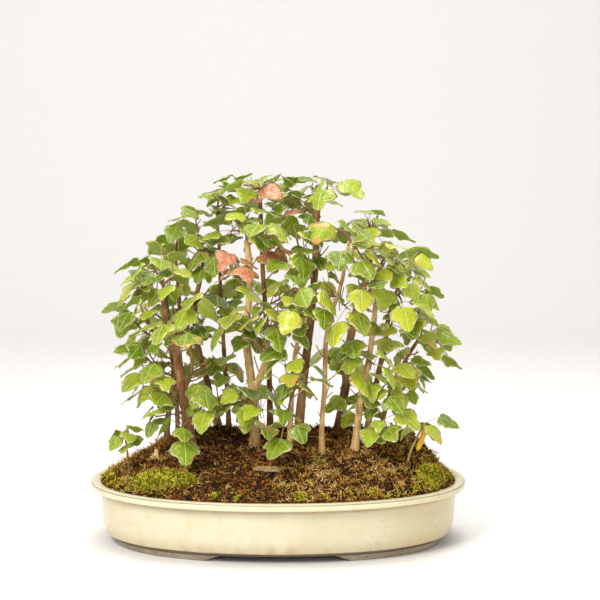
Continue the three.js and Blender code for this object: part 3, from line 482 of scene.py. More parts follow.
# %% The skin of the pot
# The walls waver by a quarter of a millimetre, but not where the oval is widest, so that the
# pot keeps its size.
pot_angles = even_angles(640)
x, y = oval(pot_angles[None], profile[:, :1])
z = np.broadcast_to(profile[:, 1:], x.shape)
z = np.maximum(z, np.where(z < OPENING_HEIGHT, foot_lift(x, y), 0))
skin = np.stack([x, y, z], axis=-1)
waver = ripple(skin, 90, 3) * 0.25 * smoothstep(0.5, 12, z)
skin[..., 0] += waver * np.cos(pot_angles) * smoothstep(200, 196, np.abs(x))
skin[..., 1] += waver * np.sin(pot_angles) * smoothstep(130, 126, np.abs(y))
print("foot openings lift up to", z[profile[:, 1] < 0.5].max(), "mm")

# %% [markdown]
# ### Glaze and clay
#
# The cream glaze pools a little greener and browner where it is thick, has fine dark specks
# and stops at a line above the foot, where the grey clay is bare. Painted shade darkens it
# under the lip, in the groove round the lip, towards its bottom and at its ends, which are
# browner with age too, and darkens the bare clay above the foot and in its crease. Painted
# light makes the lip paler.
# One finish does both, because the glaze line is only a height.

# %% Places on the pot
clay = Finish("cream_glaze_on_clay")
place = clay.object_place()
along = clay.node("SeparateXYZ", None, {"Vector": place}, output="X")
height = clay.node("SeparateXYZ", None, {"Vector": place}, output="Z")
# Browner towards both ends, more on the right: partly painted shade of the ends that turn away
# from the light, partly aged glaze, which also carries more specks and mottle there.
end_shade_and_age = along.rise(0.09, 0.2) * 0.55 + (0 - along).rise(0.09, 0.2) * 0.32
glazed = (height + clay.noise(place, 30, 2) * 0.0016).rise(0.0118, 0.0124)
# A band under the lip: painted shade under the overhang.
under_lip_shade = height.rise(0.052, 0.0572) * (1 - height.rise(0.0586, 0.0592))
# A dark line round the lip: painted shade of a groove.
lip_groove_shade = height.rise(0.0640, 0.0644) * (1 - height.rise(0.0650, 0.0654))
# A dark band in the crease above the foot: painted shade.
crease_shade = height.rise(0.0064, 0.0068) * (1 - height.rise(0.0074, 0.0080))
print("nodes for the places", len(clay.tree.nodes))

# %% Glaze
drift = clay.noise(place, 9, 3)
cloud = clay.noise(place, 28, 4, 0.6)
# Blotches that vary the painted shade under the lip and towards the bottom of the glaze.
shade_blotch = clay.noise(clay.object_place((1, 1, 0.35)), 60, 5, 0.62).rise(0.42, 0.72)
mottle = clay.noise(place, 75, 5, 0.7).rise(0.5, 0.66)
streaks = clay.noise(clay.object_place((1, 1, 0.12)), 45, 4, 0.6).rise(0.5, 0.72)
speck_cells = clay.node("TexVoronoi", None, {"Vector": place, "Scale": 240.0}, output="Distance")
speck_pick = (clay.noise(place, 42, 2) + end_shade_and_age * 0.2).rise(0.57, 0.65)
speck = (1 - speck_cells.rise(0.1, 0.2)) * speck_pick
cream = clay.layers(
    clay.blend(drift.rise(0.35, 0.68), (0.66, 0.615, 0.445), (0.605, 0.545, 0.355)),
    (cloud.rise(0.52, 0.75) * 0.45, (0.73, 0.67, 0.51)),
    # The ends: painted shade, partly aged glaze.
    (end_shade_and_age * (0.8 + 0.5 * cloud), (0.52, 0.39, 0.18)),
    # The lip is paler: painted light where it catches the lamps.
    (height.rise(0.0592, 0.06) * 0.6, (0.76, 0.68, 0.44)),
    # Painted shade under the lip, blotchy.
    (under_lip_shade * (0.7 + 0.3 * shade_blotch), (0.34, 0.21, 0.07)),
    # Browner towards the bottom of the glaze: painted shade where the body turns under.
    ((1 - height.rise(0.012, 0.028)) * (0.3 + 0.7 * shade_blotch), (0.48, 0.35, 0.17)),
    (mottle * (0.28 + 0.6 * end_shade_and_age), (0.6, 0.47, 0.22)),
    (streaks * 0.35, (0.55, 0.5, 0.28)),
    # Painted shade of the groove round the lip.
    (lip_groove_shade * 0.85, (0.25, 0.26, 0.19)),
    (speck * 0.7, (0.2, 0.15, 0.09)))
print("nodes with the glaze", len(clay.tree.nodes))

# %% Bare clay, and the finish of the whole pot
grit = clay.noise(place, 420, 4, 0.7)
bare_clay = clay.layers(
    clay.blend(grit.rise(0.3, 0.7), (0.2, 0.155, 0.1), (0.4, 0.33, 0.235)),
    (cloud.rise(0.45, 0.7) * 0.5, (0.46, 0.4, 0.3)),
    # Dark from the foot's top up to the glaze line: painted shade under the body's curve.
    (height.rise(0.0074, 0.0082) * 0.75, (0.09, 0.055, 0.025)),
    # Painted shade in the crease.
    (crease_shade * 0.7, (0.06, 0.045, 0.03)))
uneven = drift * 0.6 + cloud * 0.3 + grit * (1 - glazed) * 0.5 + (1 - speck) * 0.04
pot_finish = clay.surface(
    Base_Color=clay.blend(glazed, bare_clay, cream),
    Roughness=0.75 - glazed * 0.5 + shade_blotch * under_lip_shade * 0.2,
    Coat_Weight=glazed * 0.35, Coat_Roughness=0.12, Normal=clay.bump(uneven, 0.0006, 0.6))

# %% The pot as a piece
pot = Bundle()
pot.add(loft(skin[None]))
pot_piece = pot.piece("oval_pot", [pot_finish], "glaze", ["pot"])


# %% The drain holes are cut through the floor
DRAIN_RADIUS, DRAIN_FROM_MIDDLE = 11, 85


def drain_drill(side):
    """A cylinder of 48 sides: rings of the hole's radius at two heights, joined."""
    turn = np.linspace(0, 2 * np.pi, 48, endpoint=False)
    circle = np.stack([DRAIN_RADIUS * np.cos(turn) + side * DRAIN_FROM_MIDDLE,
                       DRAIN_RADIUS * np.sin(turn)], axis=-1)
    rings = np.stack([
        np.column_stack([circle, np.full(48, level)]) for level in (4.0, 19.0)])
    mesh = make_mesh("drill", *loft(rings[None]))
    drill = bpy.data.objects.new("drill", mesh)
    bpy.context.scene.collection.objects.link(drill)
    return drill


for side in (-1, 1):
    drill = drain_drill(side)
    cut = pot_piece.modifiers.new("hole", "BOOLEAN")
    cut.operation = "DIFFERENCE"
    cut.object = drill
    cut.solver = "EXACT"
    bpy.context.view_layer.update()
    holed = bpy.data.meshes.new_from_object(
        pot_piece.evaluated_get(bpy.context.evaluated_depsgraph_get()))
    pot_piece.modifiers.clear()
    pot_piece.data = holed
    bpy.data.objects.remove(drill)
print("pot with holes", len(pot_piece.data.polygons), "faces")

# %% [markdown]
# ## How the trees grow
#
# The trunks follow given points, and the twigs and leaves follow seeded rules. The frame was
# grown by the same rules, so each fine leaf made here lies where the plain leaf of the frame
# lies. A tree could also be drawn leaf by leaf, but a rule keeps nearly five hundred leaves
# apart from each other and lets one number change them all.

# %% Limbs and shoots of the trees, in mm
def limb_of(foot, tip, *points):
    """A limb with its radius at foot and tip, and the points that it passes through."""
    return {"radius": [foot, tip], "points": [list(point) for point in points]}


def shoot_of(limb, at, *ends, leaf="green"):
    """A shoot leaves a limb at a share of its length, with one twig to each of its ends."""
    return {"limb": limb, "at": at, "ends": [list(end) for end in ends], "leaf": leaf}


TREES = {
    "maple_01": {
        "limbs": [
            limb_of(3.4, 2.1, (-120, 0, 100), (-117, -1, 136), (-111, -3, 180), (-116, -4, 217),
                    (-118, -5, 245))],
        "shoots": [
            shoot_of(0, 1.0, (-124, 11, 298), (-144, -7, 276)),
            shoot_of(0, 0.75, (-154, -5, 237), (-137, -28, 249)),
            shoot_of(0, 0.48, (-144, 3, 200), (-140, -22, 181), (-131, 27, 185))]},
    "maple_02": {
        "limbs": [
            limb_of(6.4, 3.6, (-90, -41, 97), (-95, -40, 141), (-98, -40, 157), (-103, -39, 191),
                    (-107, -39, 218), (-116, -38, 249), (-118, -38, 270)),
            limb_of(2.6, 1.8, (-99, -40, 165), (-92, -42, 181), (-89, -45, 198), (-92, -50, 224))],
        "shoots": [
            shoot_of(0, 1.0, (-128, -47, 296), (-107, -57, 286)),
            shoot_of(1, 1.0, (-88, -59, 252), (-104, -72, 237)),
            shoot_of(0, 0.35, (-122, -63, 184), (-128, -48, 172)),
            shoot_of(0, 0.17, (-78, -62, 156), (-100, -70, 133))]},
    "maple_03": {
        "limbs": [
            limb_of(2.7, 1.6, (-109, 25, 105), (-110, 26, 140), (-112, 27, 178), (-106, 28, 221),
                    (-108, 29, 265), (-110, 30, 299))],
        "shoots": [
            shoot_of(0, 1.0, (-104, 24, 330), (-104, 44, 306)),
            shoot_of(0, 0.63, (-135, 55, 236), (-101, 62, 252))]},
    "maple_04": {
        "limbs": [
            limb_of(4.3, 2.4, (-65, 30, 109), (-67, 29, 124), (-73, 27, 142), (-76, 26, 162),
                    (-82, 24, 185), (-89, 20, 222), (-88, 17, 255), (-82, 15, 282))],
        "shoots": [
            shoot_of(0, 1.0, (-84, 11, 315), (-72, -8, 299)),
            shoot_of(0, 0.69, (-106, 53, 199), (-72, -7, 232))]},
    "maple_05": {
        "limbs": [
            limb_of(2.7, 1.7, (-54, 36, 106), (-56, 33, 160), (-58, 31, 183), (-60, 29, 221),
                    (-62, 26, 265), (-63, 24, 308), (-65, 22, 338))],
        "shoots": [
            shoot_of(0, 1.0, (-62, 13, 366), (-53, 36, 359)),
            shoot_of(0, 0.6, (-71, 2, 256), (-48, 51, 263)),
            shoot_of(0, 0.2, (-58, -5, 187), (-75, 56, 178), (-46, 11, 153))]},
    "maple_06": {
        "limbs": [
            limb_of(5.2, 3.1, (-24, -30, 105), (-25, -30, 139), (-27, -30, 170), (-32, -30, 210),
                    (-33, -30, 235), (-30, -30, 261), (-29, -30, 292), (-32, -30, 324)),
            limb_of(4.1, 2.6, (-26, -30, 164), (-15, -36, 189), (-11, -41, 208), (-11, -45, 225)),
            limb_of(2.1, 1.5, (-11, -39, 200), (-19, -45, 214), (-28, -55, 233))],
        "shoots": [
            shoot_of(0, 1.0, (-32, -34, 348), (-49, -16, 332), (-14, -48, 338)),
            shoot_of(0, 0.81, (-43, -52, 299), leaf="red"),
            shoot_of(0, 0.54, (-40, -63, 240), (-19, -60, 256)),
            shoot_of(1, 1.0, (-13, -76, 244), (5, -58, 242)),
            shoot_of(0, 0.18, (-15, -60, 150), (-37, -52, 160))]},
    "maple_07": {
        "limbs": [
            limb_of(3.2, 1.9, (-9, 26, 111), (-10, 21, 180), (-13, 16, 234), (-16, 12, 282),
                    (-17, 10, 310), (-18, 7, 347), (-19, 5, 369))],
        "shoots": [
            shoot_of(0, 1.0, (-4, 12, 381), (-36, 17, 378), (-26, -18, 376)),
            shoot_of(0, 0.74, (-8, -15, 324), leaf="red"),
            shoot_of(0, 0.37, (3, 52, 253), (-31, 50, 221))]},
    "maple_08": {
        "limbs": [
            limb_of(2.8, 2.0, (11, -43, 100), (14, -47, 145), (16, -50, 183), (18, -51, 205),
                    (22, -53, 227), (26, -55, 252))],
        "shoots": [
            shoot_of(0, 1.0, (16, -73, 276), (30, -86, 268)),
            shoot_of(0, 0.29, (8, -75, 200), (26, -77, 186), (9, -73, 141))]},
    "maple_09": {
        "limbs": [
            limb_of(5.0, 3.2, (21, -14, 108), (25, -11, 154), (30, -9, 199), (33, -8, 221),
                    (37, -6, 260), (40, -3, 311), (41, -1, 346), (43, 0, 359))],
        "shoots": [
            shoot_of(0, 1.0, (54, -11, 372), (34, 11, 377)),
            shoot_of(0, 0.68, (20, -20, 324), (14, -34, 301), (52, -32, 296))]},
    "maple_10": {
        "limbs": [
            limb_of(2.8, 1.8, (47, -46, 99), (46, -47, 131), (49, -47, 175), (50, -48, 219),
                    (54, -48, 237), (58, -49, 255), (66, -49, 281), (70, -50, 304),
                    (74, -50, 325))],
        "shoots": [
            shoot_of(0, 1.0, (63, -42, 334), (79, -73, 318)),
            shoot_of(0, 0.69, (49, -77, 271), (71, -83, 259))]},
    "maple_11": {
        "limbs": [
            limb_of(5.3, 3.2, (65, 20, 112), (69, 19, 142), (74, 18, 173), (76, 17, 206),
                    (81, 16, 230), (85, 15, 251), (94, 14, 279), (98, 13, 304), (99, 12, 324)),
            limb_of(3.2, 2.1, (84, 15, 245), (94, 19, 255), (104, 28, 276), (112, 35, 294))],
        "shoots": [
            shoot_of(0, 1.0, (96, 4, 338), (102, 26, 328)),
            shoot_of(1, 1.0, (109, 56, 298), (131, 43, 293)),
            shoot_of(0, 0.21, (63, 47, 188), (87, 35, 171))]},
    "maple_12": {
        "limbs": [
            limb_of(4.1, 2.3, (80, -40, 101), (84, -44, 137), (88, -47, 168), (94, -50, 198),
                    (99, -53, 235), (101, -56, 259), (103, -58, 280))],
        "shoots": [
            shoot_of(0, 1.0, (108, -64, 307), (93, -85, 283)),
            shoot_of(0, 0.55, (79, -78, 210), (99, -81, 201))]},
    "maple_13": {
        "limbs": [
            limb_of(3.4, 2.3, (90, -28, 104), (99, -30, 150), (102, -31, 165), (106, -32, 187),
                    (112, -33, 213), (114, -34, 234), (119, -35, 256))],
        "shoots": [
            shoot_of(0, 1.0, (138, -27, 300), (151, -43, 271), (127, -72, 263)),
            shoot_of(0, 0.2, (109, -69, 139), (96, 5, 137))]},
    "maple_14": {
        "limbs": [
            limb_of(2.7, 1.9, (110, 22, 112), (118, 18, 146), (129, 14, 176), (135, 13, 189),
                    (148, 10, 211))],
        "shoots": [
            shoot_of(0, 1.0, (165, 22, 217), (170, -2, 212), (148, -25, 234)),
            shoot_of(0, 0.61, (146, 26, 176), (132, -20, 164), (124, -44, 206))]},
}
SAPLINGS = {
    "sapling_left": {
        "leaves": 8, "length": [15, 19],
        **limb_of(1.5, 1.1, (-156, -35, 77), (-158, -37, 101), (-161, -38, 124))},
    "sapling_right": {
        "leaves": 4, "length": [22, 27],
        **limb_of(1.7, 1.2, (135, -48, 89), (138, -49, 103), (147, -50, 123), (153, -50, 134))},
}
print(len(TREES), "trees with", sum(len(tree["limbs"]) for tree in TREES.values()), "limbs and",
      sum(len(tree["shoots"]) for tree in TREES.values()), "shoots")

# %% A number from a few keys
def draw(*keys):
    """A number from 0 to 1: each whole number is mixed into 32 bits that are stirred. The
    last key only tells one use of the numbers from another."""
    state = 2166136261
    for key in keys:
        state = (state ^ key) * 16777619 & 0xFFFFFFFF
        state ^= state >> 15
    state = (state ^ state >> 16) * 2246822507 & 0xFFFFFFFF
    state = (state ^ state >> 13) * 3266489909 & 0xFFFFFFFF
    return (state ^ state >> 16) / 4294967296


def mix(low, high, share):
    """low at share 0, high at share 1 and evenly between."""
    return low + (high - low) * share


print("three draws", [round(draw(1, 2, n), 3) for n in range(3)])


# %% Smooth paths
class Spline:
    """A path through points. Between two of them it is the cubic whose slope at each point
    is half the way from the point before to the point after."""

    def __init__(self, points):
        places = np.array(points, float)
        self.count = len(places) - 1
        self.places = np.vstack([
            2 * places[0] - places[1], places, 2 * places[-1] - places[-2]])

    def at(self, share):
        along = np.asarray(share, float) * self.count
        step = np.minimum(along.astype(int), self.count - 1)
        t = (along - step)[..., None]
        a, b, c, d = (self.places[step + k] for k in range(4))
        slope_b, slope_c = 0.5 * (c - a), 0.5 * (d - b)
        cubic = (2 * b - 2 * c + slope_b + slope_c) * t ** 3
        return b + slope_b * t + (-3 * b + 3 * c - 2 * slope_b - slope_c) * t * t + cubic


class Arc:
    """A path from start to stop drawn towards middle: (1-t)(1-t) start + 2t(1-t) middle
    + t t stop."""

    def __init__(self, start, middle, stop):
        self.start, self.middle, self.stop = start, middle, stop

    def at(self, share):
        t = np.asarray(share, float)[..., None]
        return (1 - t) ** 2 * self.start + 2 * (1 - t) * t * self.middle + t * t * self.stop


def length_of(path):
    """The length of 200 short chords along the path."""
    steps = np.diff(path.at(np.linspace(0, 1, 201)), axis=0)
    return np.linalg.norm(steps, axis=1).sum()


def heading(path, share):
    """The path's way there, from the places a hundredth of it before and after."""
    share = np.asarray(share, float)
    ahead = path.at(np.minimum(share + 0.01, 1))
    return unit(ahead - path.at(np.maximum(share - 0.01, 0)))


first_trunk = Spline(TREES["maple_01"]["limbs"][0]["points"])
print("the first trunk is", round(length_of(first_trunk)), "mm long and ends along",
      heading(first_trunk, 1).round(2))

# %% The mound
HALF_LENGTH, HALF_WIDTH = 189, 119  # of the soil
SOIL_EDGE, MOUND_RISE = 64.6, 50


def mound_height(x, y):
    """The soil's height: it climbs by a quarter sine from the left end, falls at the right
    end, and across the pot it is a cosine that ends at the rim."""
    climb = np.sin(np.pi / 2 * np.clip((x + HALF_LENGTH) / 121, 0, 1))
    drop = np.sin(np.pi / 2 * np.clip((HALF_LENGTH - x) / 60, 0, 1)) ** 1.4
    rim = (np.maximum(1 - np.abs(x / HALF_LENGTH) ** OVAL_POWER, 1e-6) ** (1 / OVAL_POWER)
           * HALF_WIDTH)
    ridge = 10 * rim / HALF_WIDTH
    away = np.where(y > ridge, (y - ridge) / (rim - ridge), (ridge - y) / (rim + ridge))
    across = np.cos(np.pi / 2 * np.minimum(away, 1)) ** 1.2
    return SOIL_EDGE + MOUND_RISE * climb * drop * across


print("mound at the middle", round(float(mound_height(0.0, 0.0)), 1), "mm")


# %% Room for leaves
ROOM = (198, 128, 394)  # how far to the sides, to the front and back, and up
ABOVE_SOIL = 5


class Crowd:
    """Every piece as a string of balls (x, y, z, radius); it says if new balls have room."""

    def __init__(self):
        self.balls = np.zeros((0, 4))

    def add(self, balls):
        self.balls = np.vstack([self.balls, balls])

    def has_room(self, balls):
        """No ball leaves the room, comes near the soil or cuts a ball that is there."""
        x, y, z, radius = balls.T
        middle = balls[:, :3].mean(axis=0)
        near = self.balls[(np.abs(self.balls[:, :3] - middle) < 60).all(axis=1)]
        if any((far + radius).max() > room for far, room in zip((np.abs(x), np.abs(y), z), ROOM)):
            return False
        if (z - radius - mound_height(x, y)).min() < ABOVE_SOIL:
            return False
        away = ((balls[:, None, :3] - near[None, :, :3]) ** 2).sum(axis=-1)
        return not (away < (radius[:, None] + near[:, 3]) ** 2).any()


def balls_along(path, radius_at):
    """Balls about 2 mm apart along a path."""
    share = np.linspace(0, 1, math.ceil(length_of(path) / 2) + 1)
    return np.column_stack([path.at(share), radius_at(share) + 0.0 * share])


crowd = Crowd()
trial = balls_along(first_trunk, lambda share: 2.0 + share)
print("room for a trunk of", len(trial), "balls:", crowd.has_room(trial[8:]))

# %% Where a leaf hangs
UP = np.array([0.0, 0.0, 1.0])
BACKWARDS = np.array([0.0, 1.0, 0.0])
HALF_BALLS = [(0.14, 0.1), (0.32, 0.17), (0.2, 0.34), (0.43, 0.38), (0.13, 0.62)]
BALL_PLACES = np.array([(0, 0.45), (0, 0.76), (0, 0.93)] + HALF_BALLS
                       + [(-sideways, forward) for sideways, forward in HALF_BALLS])


print("a leaf takes", len(BALL_PLACES) + 3, "balls")


def pose_leaf(root, stalk, keys, sizes):
    """A leaf's base, its three directions and its shape, from eight draws. It hangs outwards
    from the crown's middle and droops, less near the top."""
    chance = [draw(*keys, number) for number in range(1, 9)]
    length = mix(*sizes, chance[0])
    reach = length * mix(0.45, 0.8, chance[1])
    base = root + stalk * reach
    level = np.array([stalk[0] + 0.8 * base[0] / 185, stalk[1] + 0.8 * base[1] / 120, 0])
    level[0] += mix(-0.5, 0.5, chance[2])
    level[1] += mix(-0.5, 0.5, chance[3]) - 0.15
    level = unit(level)
    droop = mix(mix(0.2, 1.0, chance[4]), mix(-0.05, 0.65, chance[4]),
                smoothstep(270, 380, base[2]))
    forward = level * math.cos(droop) - UP * math.sin(droop)
    flat = unit(np.cross(forward, UP))
    roll = mix(-0.65, 0.65, chance[5])
    across = flat * math.cos(roll) + np.cross(flat, forward) * math.sin(roll)
    return {"root": root, "stalk": stalk, "base": base, "forward": forward, "across": across,
            "normal": unit(np.cross(across, forward)), "length": length, "reach": reach,
            "fold": mix(-0.32, 0.22, chance[6]), "curl": mix(0, 0.22, chance[7]),
            "keys": keys}


def leaf_balls(leaf, share=0.13):
    """Thirteen balls over a blade, their radius a share of its length, and three on its
    stalk."""
    sideways, forward = BALL_PLACES[:, :1], BALL_PLACES[:, 1:]
    lift = leaf["fold"] * np.abs(sideways) - leaf["curl"] * forward ** 2
    blade = leaf["base"] + leaf["length"] * (
        sideways * leaf["across"] + forward * leaf["forward"] + lift * leaf["normal"])
    stalk = leaf["root"] + np.array([[0.4], [0.6], [0.8]]) * leaf["reach"] * leaf["stalk"]
    radius = np.full((len(blade), 1), share * leaf["length"] + 0.3)
    return np.vstack([np.hstack([blade, radius]), np.hstack([stalk, np.full((3, 1), 1.3)])])


def grow_leaf(root, way, face_way, keys, sizes, share=0.13, tries=16):
    """The first of a few draws for which the leaf has room, or None."""
    for attempt in range(tries):
        spread = 0.1 * min(attempt, 9)
        shift = [draw(*keys, attempt, number) - 0.5 for number in (11, 12, 13)]
        stalk = unit(way + spread * np.array(shift))
        if stalk @ face_way < 0.4:
            continue
        leaf = pose_leaf(root, stalk, (*keys, attempt), sizes)
        balls = leaf_balls(leaf, share)
        if crowd.has_room(balls):
            crowd.add(balls)
            return leaf
    return None


# %% Twigs
def make_twig(start, way, stop, radius):
    """A twig starts along way and bends to its end in one plane."""
    plane = np.cross(way, stop - start)
    if plane @ plane < 1:
        plane = np.array([1.0, 0, 0])
    middle = start + way * 0.45 * np.linalg.norm(stop - start)
    return {"path": Arc(start, middle, stop), "way": way, "plane": unit(plane),
            "radius": radius}


def twig_balls(twig):
    """Balls along a twig, without those within 7 mm of what carries it."""
    balls = balls_along(twig["path"], lambda share: mix(*twig["radius"], share) + 0.3)
    return balls[np.linalg.norm(balls[:, :3] - twig["path"].start, axis=1) > 7]


def grow_twig(start, way_to, wanted, radius, keys):
    """The first of a few ends near the wanted one that keeps the twig clear."""
    wanted = np.array(wanted, float)
    for attempt in range(16):
        shift = [draw(*keys, attempt, number) - 0.5 for number in (21, 22, 23)]
        stop = wanted + np.array(shift) * (3, 3, 2) * attempt
        twig = make_twig(start, way_to(stop), stop, radius)
        if crowd.has_room(twig_balls(twig)):
            return twig
    return make_twig(start, way_to(wanted), wanted, radius)


def shoot_start(limb, share, toward):
    """At its tip a limb carries on; elsewhere a shoot leaves square to one of six faces."""
    path = Spline(limb["points"])
    centre, along = path.at(share), heading(path, share)
    if share == 1:
        return centre + along * 0.3, along
    first = unit(np.cross(along, BACKWARDS))
    second = np.cross(along, first)
    wanted = np.array(toward, float) - centre
    face = math.pi / 3
    angle = math.atan2(wanted @ second, wanted @ first)
    square = (math.floor(angle / face) + 0.5) * face
    way = first * math.cos(square) + second * math.sin(square)
    radius = mix(*limb["radius"], share ** 0.8)
    return centre + way * (radius * math.cos(face / 2) + 0.3), way


def grow_shoot(limbs, shoot, keys):
    """The first twig comes from the limb and the others fork from it near its foot."""
    start, way = shoot_start(limbs[shoot["limb"]], shoot["at"], shoot["ends"][0])
    main = grow_twig(start, lambda stop: way, shoot["ends"][0], (1.7, 1.0), (*keys, 0))
    fork, ahead = main["path"].at(0.22), heading(main["path"], 0.22)
    twigs = [main] + [
        grow_twig(fork, lambda stop: unit(unit(stop - fork) + 0.5 * ahead), stop,
                  (1.05, 0.95), (*keys, index + 1))
        for index, stop in enumerate(shoot["ends"][1:])]
    for twig in twigs:
        crowd.add(twig_balls(twig))
    return twigs


print("half way up, a shoot starts at",
      shoot_start(TREES["maple_01"]["limbs"][0], 0.5, (0, 0, 200))[0].round(1))

# %% Leaves of a twig: opposite pairs and one at the end
def grow_pair(twig, share, turn, sides, keys, sizes=(20, 30), ball=0.13, tries=16):
    """Leaves on one or both sides of a twig, their stalks leaning ahead and upwards."""
    along = heading(twig["path"], share)
    aside = (twig["plane"] * math.cos(turn)
             + np.cross(along, twig["plane"]) * math.sin(turn))
    found = [grow_leaf(twig["path"].at(share), unit(side * aside + 0.5 * along + 0.25 * UP),
                       side * aside, (*keys, side + 1), sizes, ball, tries)
             for side in sides]
    return [leaf for leaf in found if leaf]


def grow_leaves(twig, keys):
    """A pair near the twig's end, a leaf beyond it, and one or two halfway if it is long."""
    reach = length_of(twig["path"])
    single = [1 if draw(*keys, 92) < 0.5 else -1] if reach > 33 else []
    sides = [1, -1] if reach > 46 else single
    leaves = grow_pair(twig, 0.58, mix(-0.6, 0.6, draw(*keys, 91, 1)), sides, (*keys, 0))
    leaves += grow_pair(twig, 0.97, mix(-0.6, 0.6, draw(*keys, 91, 0)), [1, -1], (*keys, 1))
    ahead = heading(twig["path"], 1)
    last = grow_leaf(twig["path"].at(1), unit(ahead + 0.25 * UP), ahead, (*keys, 7), (20, 30))
    return leaves + ([last] if last else [])


# %% Limbs take their room, and shoots and leaves grow
for tree in TREES.values():
    for limb in tree["limbs"]:
        crowd.add(balls_along(
            Spline(limb["points"]),
            lambda share: mix(*limb["radius"], share ** 0.8) * 1.1 + 0.3))
shoots = []
for tree_number, (tree_name, tree) in enumerate(TREES.items()):
    for number, shoot in enumerate(tree["shoots"]):
        shoots.append({
            "name": f"{tree_name}_shoot_{number + 1}", "keys": (tree_number, number),
            "twigs": grow_shoot(tree["limbs"], shoot, (tree_number, number)),
            "red": shoot["leaf"] == "red"})
for shoot in shoots:
    shoot["leaves"] = [grow_leaves(twig, (*shoot["keys"], index))
                       for index, twig in enumerate(shoot["twigs"])]

# %% The saplings grow: their leaves stand in a spiral round the head of the stem
saplings = []
for index, (name, sapling) in enumerate(SAPLINGS.items()):
    path = Spline(sapling["points"])
    leaves = []
    for number in range(sapling["leaves"]):
        turn = number * 2.4 + 0.4  # 2.4 is the golden angle, by which most plants turn
        way = unit(np.array([math.cos(turn), math.sin(turn), 0.35]))
        root = path.at(mix(0.98, 0.7, number / sapling["leaves"]))
        leaves.append(grow_leaf(root, way, way, (50 + index, number), sapling["length"]))
    saplings.append({"name": name, "leaves": [leaf for leaf in leaves if leaf]})
print("leaves of the frame",
      sum(len(found) for shoot in shoots for found in shoot["leaves"]),
      "and of the saplings", [len(sapling["leaves"]) for sapling in saplings])


# %% [markdown]
# ## Small leaves
#
# A maple that is kept small carries many small leaves behind its large ones. The frame
# leaves them out to stay light; here they grow by the same rule in the room that is left.

# %% Slender side twigs
SIDE_TWIGS = {
    "maple_07_shoot_1": [(16, -8, 354), (34, 2, 350)], "maple_04_shoot_1": [(-88, 14, 344)],
    "maple_10_shoot_1": [(78, -64, 292)], "maple_12_shoot_1": [(122, -52, 290)],
    "maple_13_shoot_1": [(114, -66, 242)], "maple_13_shoot_2": [(106, -62, 172)],
    "maple_02_shoot_4": [(-126, -60, 143)], "maple_08_shoot_1": [(6, -70, 234)],
    "maple_01_shoot_2": [(-150, -12, 282)], "maple_01_shoot_3": [(-162, -12, 212)]}

for shoot in shoots:
    path = shoot["twigs"][0]["path"]
    fork, ahead = path.at(0.3), heading(path, 0.3)
    for number, stop in enumerate(SIDE_TWIGS.get(shoot["name"], [])):
        keys = (*shoot["keys"], 30 + number)
        side_twig = grow_twig(fork, lambda end: unit(unit(end - fork) + 0.5 * ahead), stop,
                              (0.95, 0.75), keys)
        crowd.add(twig_balls(side_twig))
        shoot["twigs"].append(side_twig)
        shoot["leaves"].append([leaf for spot, share in enumerate((0.98, 0.75, 0.5))
                                for leaf in grow_pair(side_twig, share, 0.5 + 1.5 * spot,
                                                      [1, -1], (*keys, spot), (17, 26), 0.11)])
        print(shoot["name"], "side twig with", len(shoot["leaves"][-1]), "leaves")

# %% Small leaves in the room that is left
SMALL_SPOTS = [0.97, 0.8, 0.45, 0.65, 0.3]
small_count = 0
for shoot in shoots:
    for index, twig in enumerate(shoot["twigs"]):
        for spot, share in enumerate(SMALL_SPOTS):
            keys = (*shoot["keys"], index, 40 + spot)
            if draw(*keys, 94) > mix(0.4, 0.9, smoothstep(270, 340, twig["path"].stop[2])):
                continue
            turn = mix(0.9, 2.2, draw(*keys, 93))
            sizes = (15, 25) if twig["path"].stop[2] > 310 else (13, 22)
            found = grow_pair(twig, share, turn, [1, -1], keys, sizes, 0.1, 6)
            shoot["leaves"][index] += found
            small_count += len(found)
print("small leaves", small_count)

# %% [markdown]
# ## Leaves
#
# A trident maple's leaf has a rounded base, two side lobes that point forwards and a longer
# middle one. Real leaves differ, and some are hardly lobed. A blade could be cut from a
# plane with a picture, but then its edge would be flat paper. Here a blade is a flattened
# tube: its rings run across it, bow forwards or back to follow the outline, and hold a thin
# thickness that vanishes at the margin.

# %% The outline
# Each ring has a half width, the place of its ends along the blade and that of its middle,
# all as shares of the blade's length. A leaf is a mix of the two outlines.
LOBED = np.array([
    (0.03, 0, 0), (0.27, -0.02, 0.03), (0.45, 0.06, 0.12), (0.55, 0.17, 0.22),
    (0.595, 0.3, 0.31), (0.58, 0.405, 0.39), (0.495, 0.49, 0.47), (0.37, 0.53, 0.54),
    (0.31, 0.63, 0.63), (0.265, 0.77, 0.76), (0.16, 0.925, 0.9), (0.006, 1, 1)])
OVATE = np.array([
    (0.03, 0, 0), (0.25, 0, 0.03), (0.42, 0.09, 0.12), (0.51, 0.21, 0.22),
    (0.52, 0.34, 0.33), (0.49, 0.45, 0.44), (0.43, 0.55, 0.54), (0.365, 0.65, 0.64),
    (0.29, 0.76, 0.75), (0.2, 0.87, 0.86), (0.1, 0.955, 0.95), (0.004, 1, 1)])
print("a blade is up to", 2 * LOBED[:, 0].max(), "or", 2 * OVATE[:, 0].max(), "as wide as long")

# %% Numbers of many leaves
def chances(leaves, *numbers):
    """One draw for each leaf and number, shaped to be used over its rings and sides."""
    found = np.array([[draw(*leaf["keys"], number) for leaf in leaves] for number in numbers])
    return found[:, :, None, None]


def stacked(leaves, key):
    """One row for each leaf."""
    return np.array([leaf[key] for leaf in leaves])


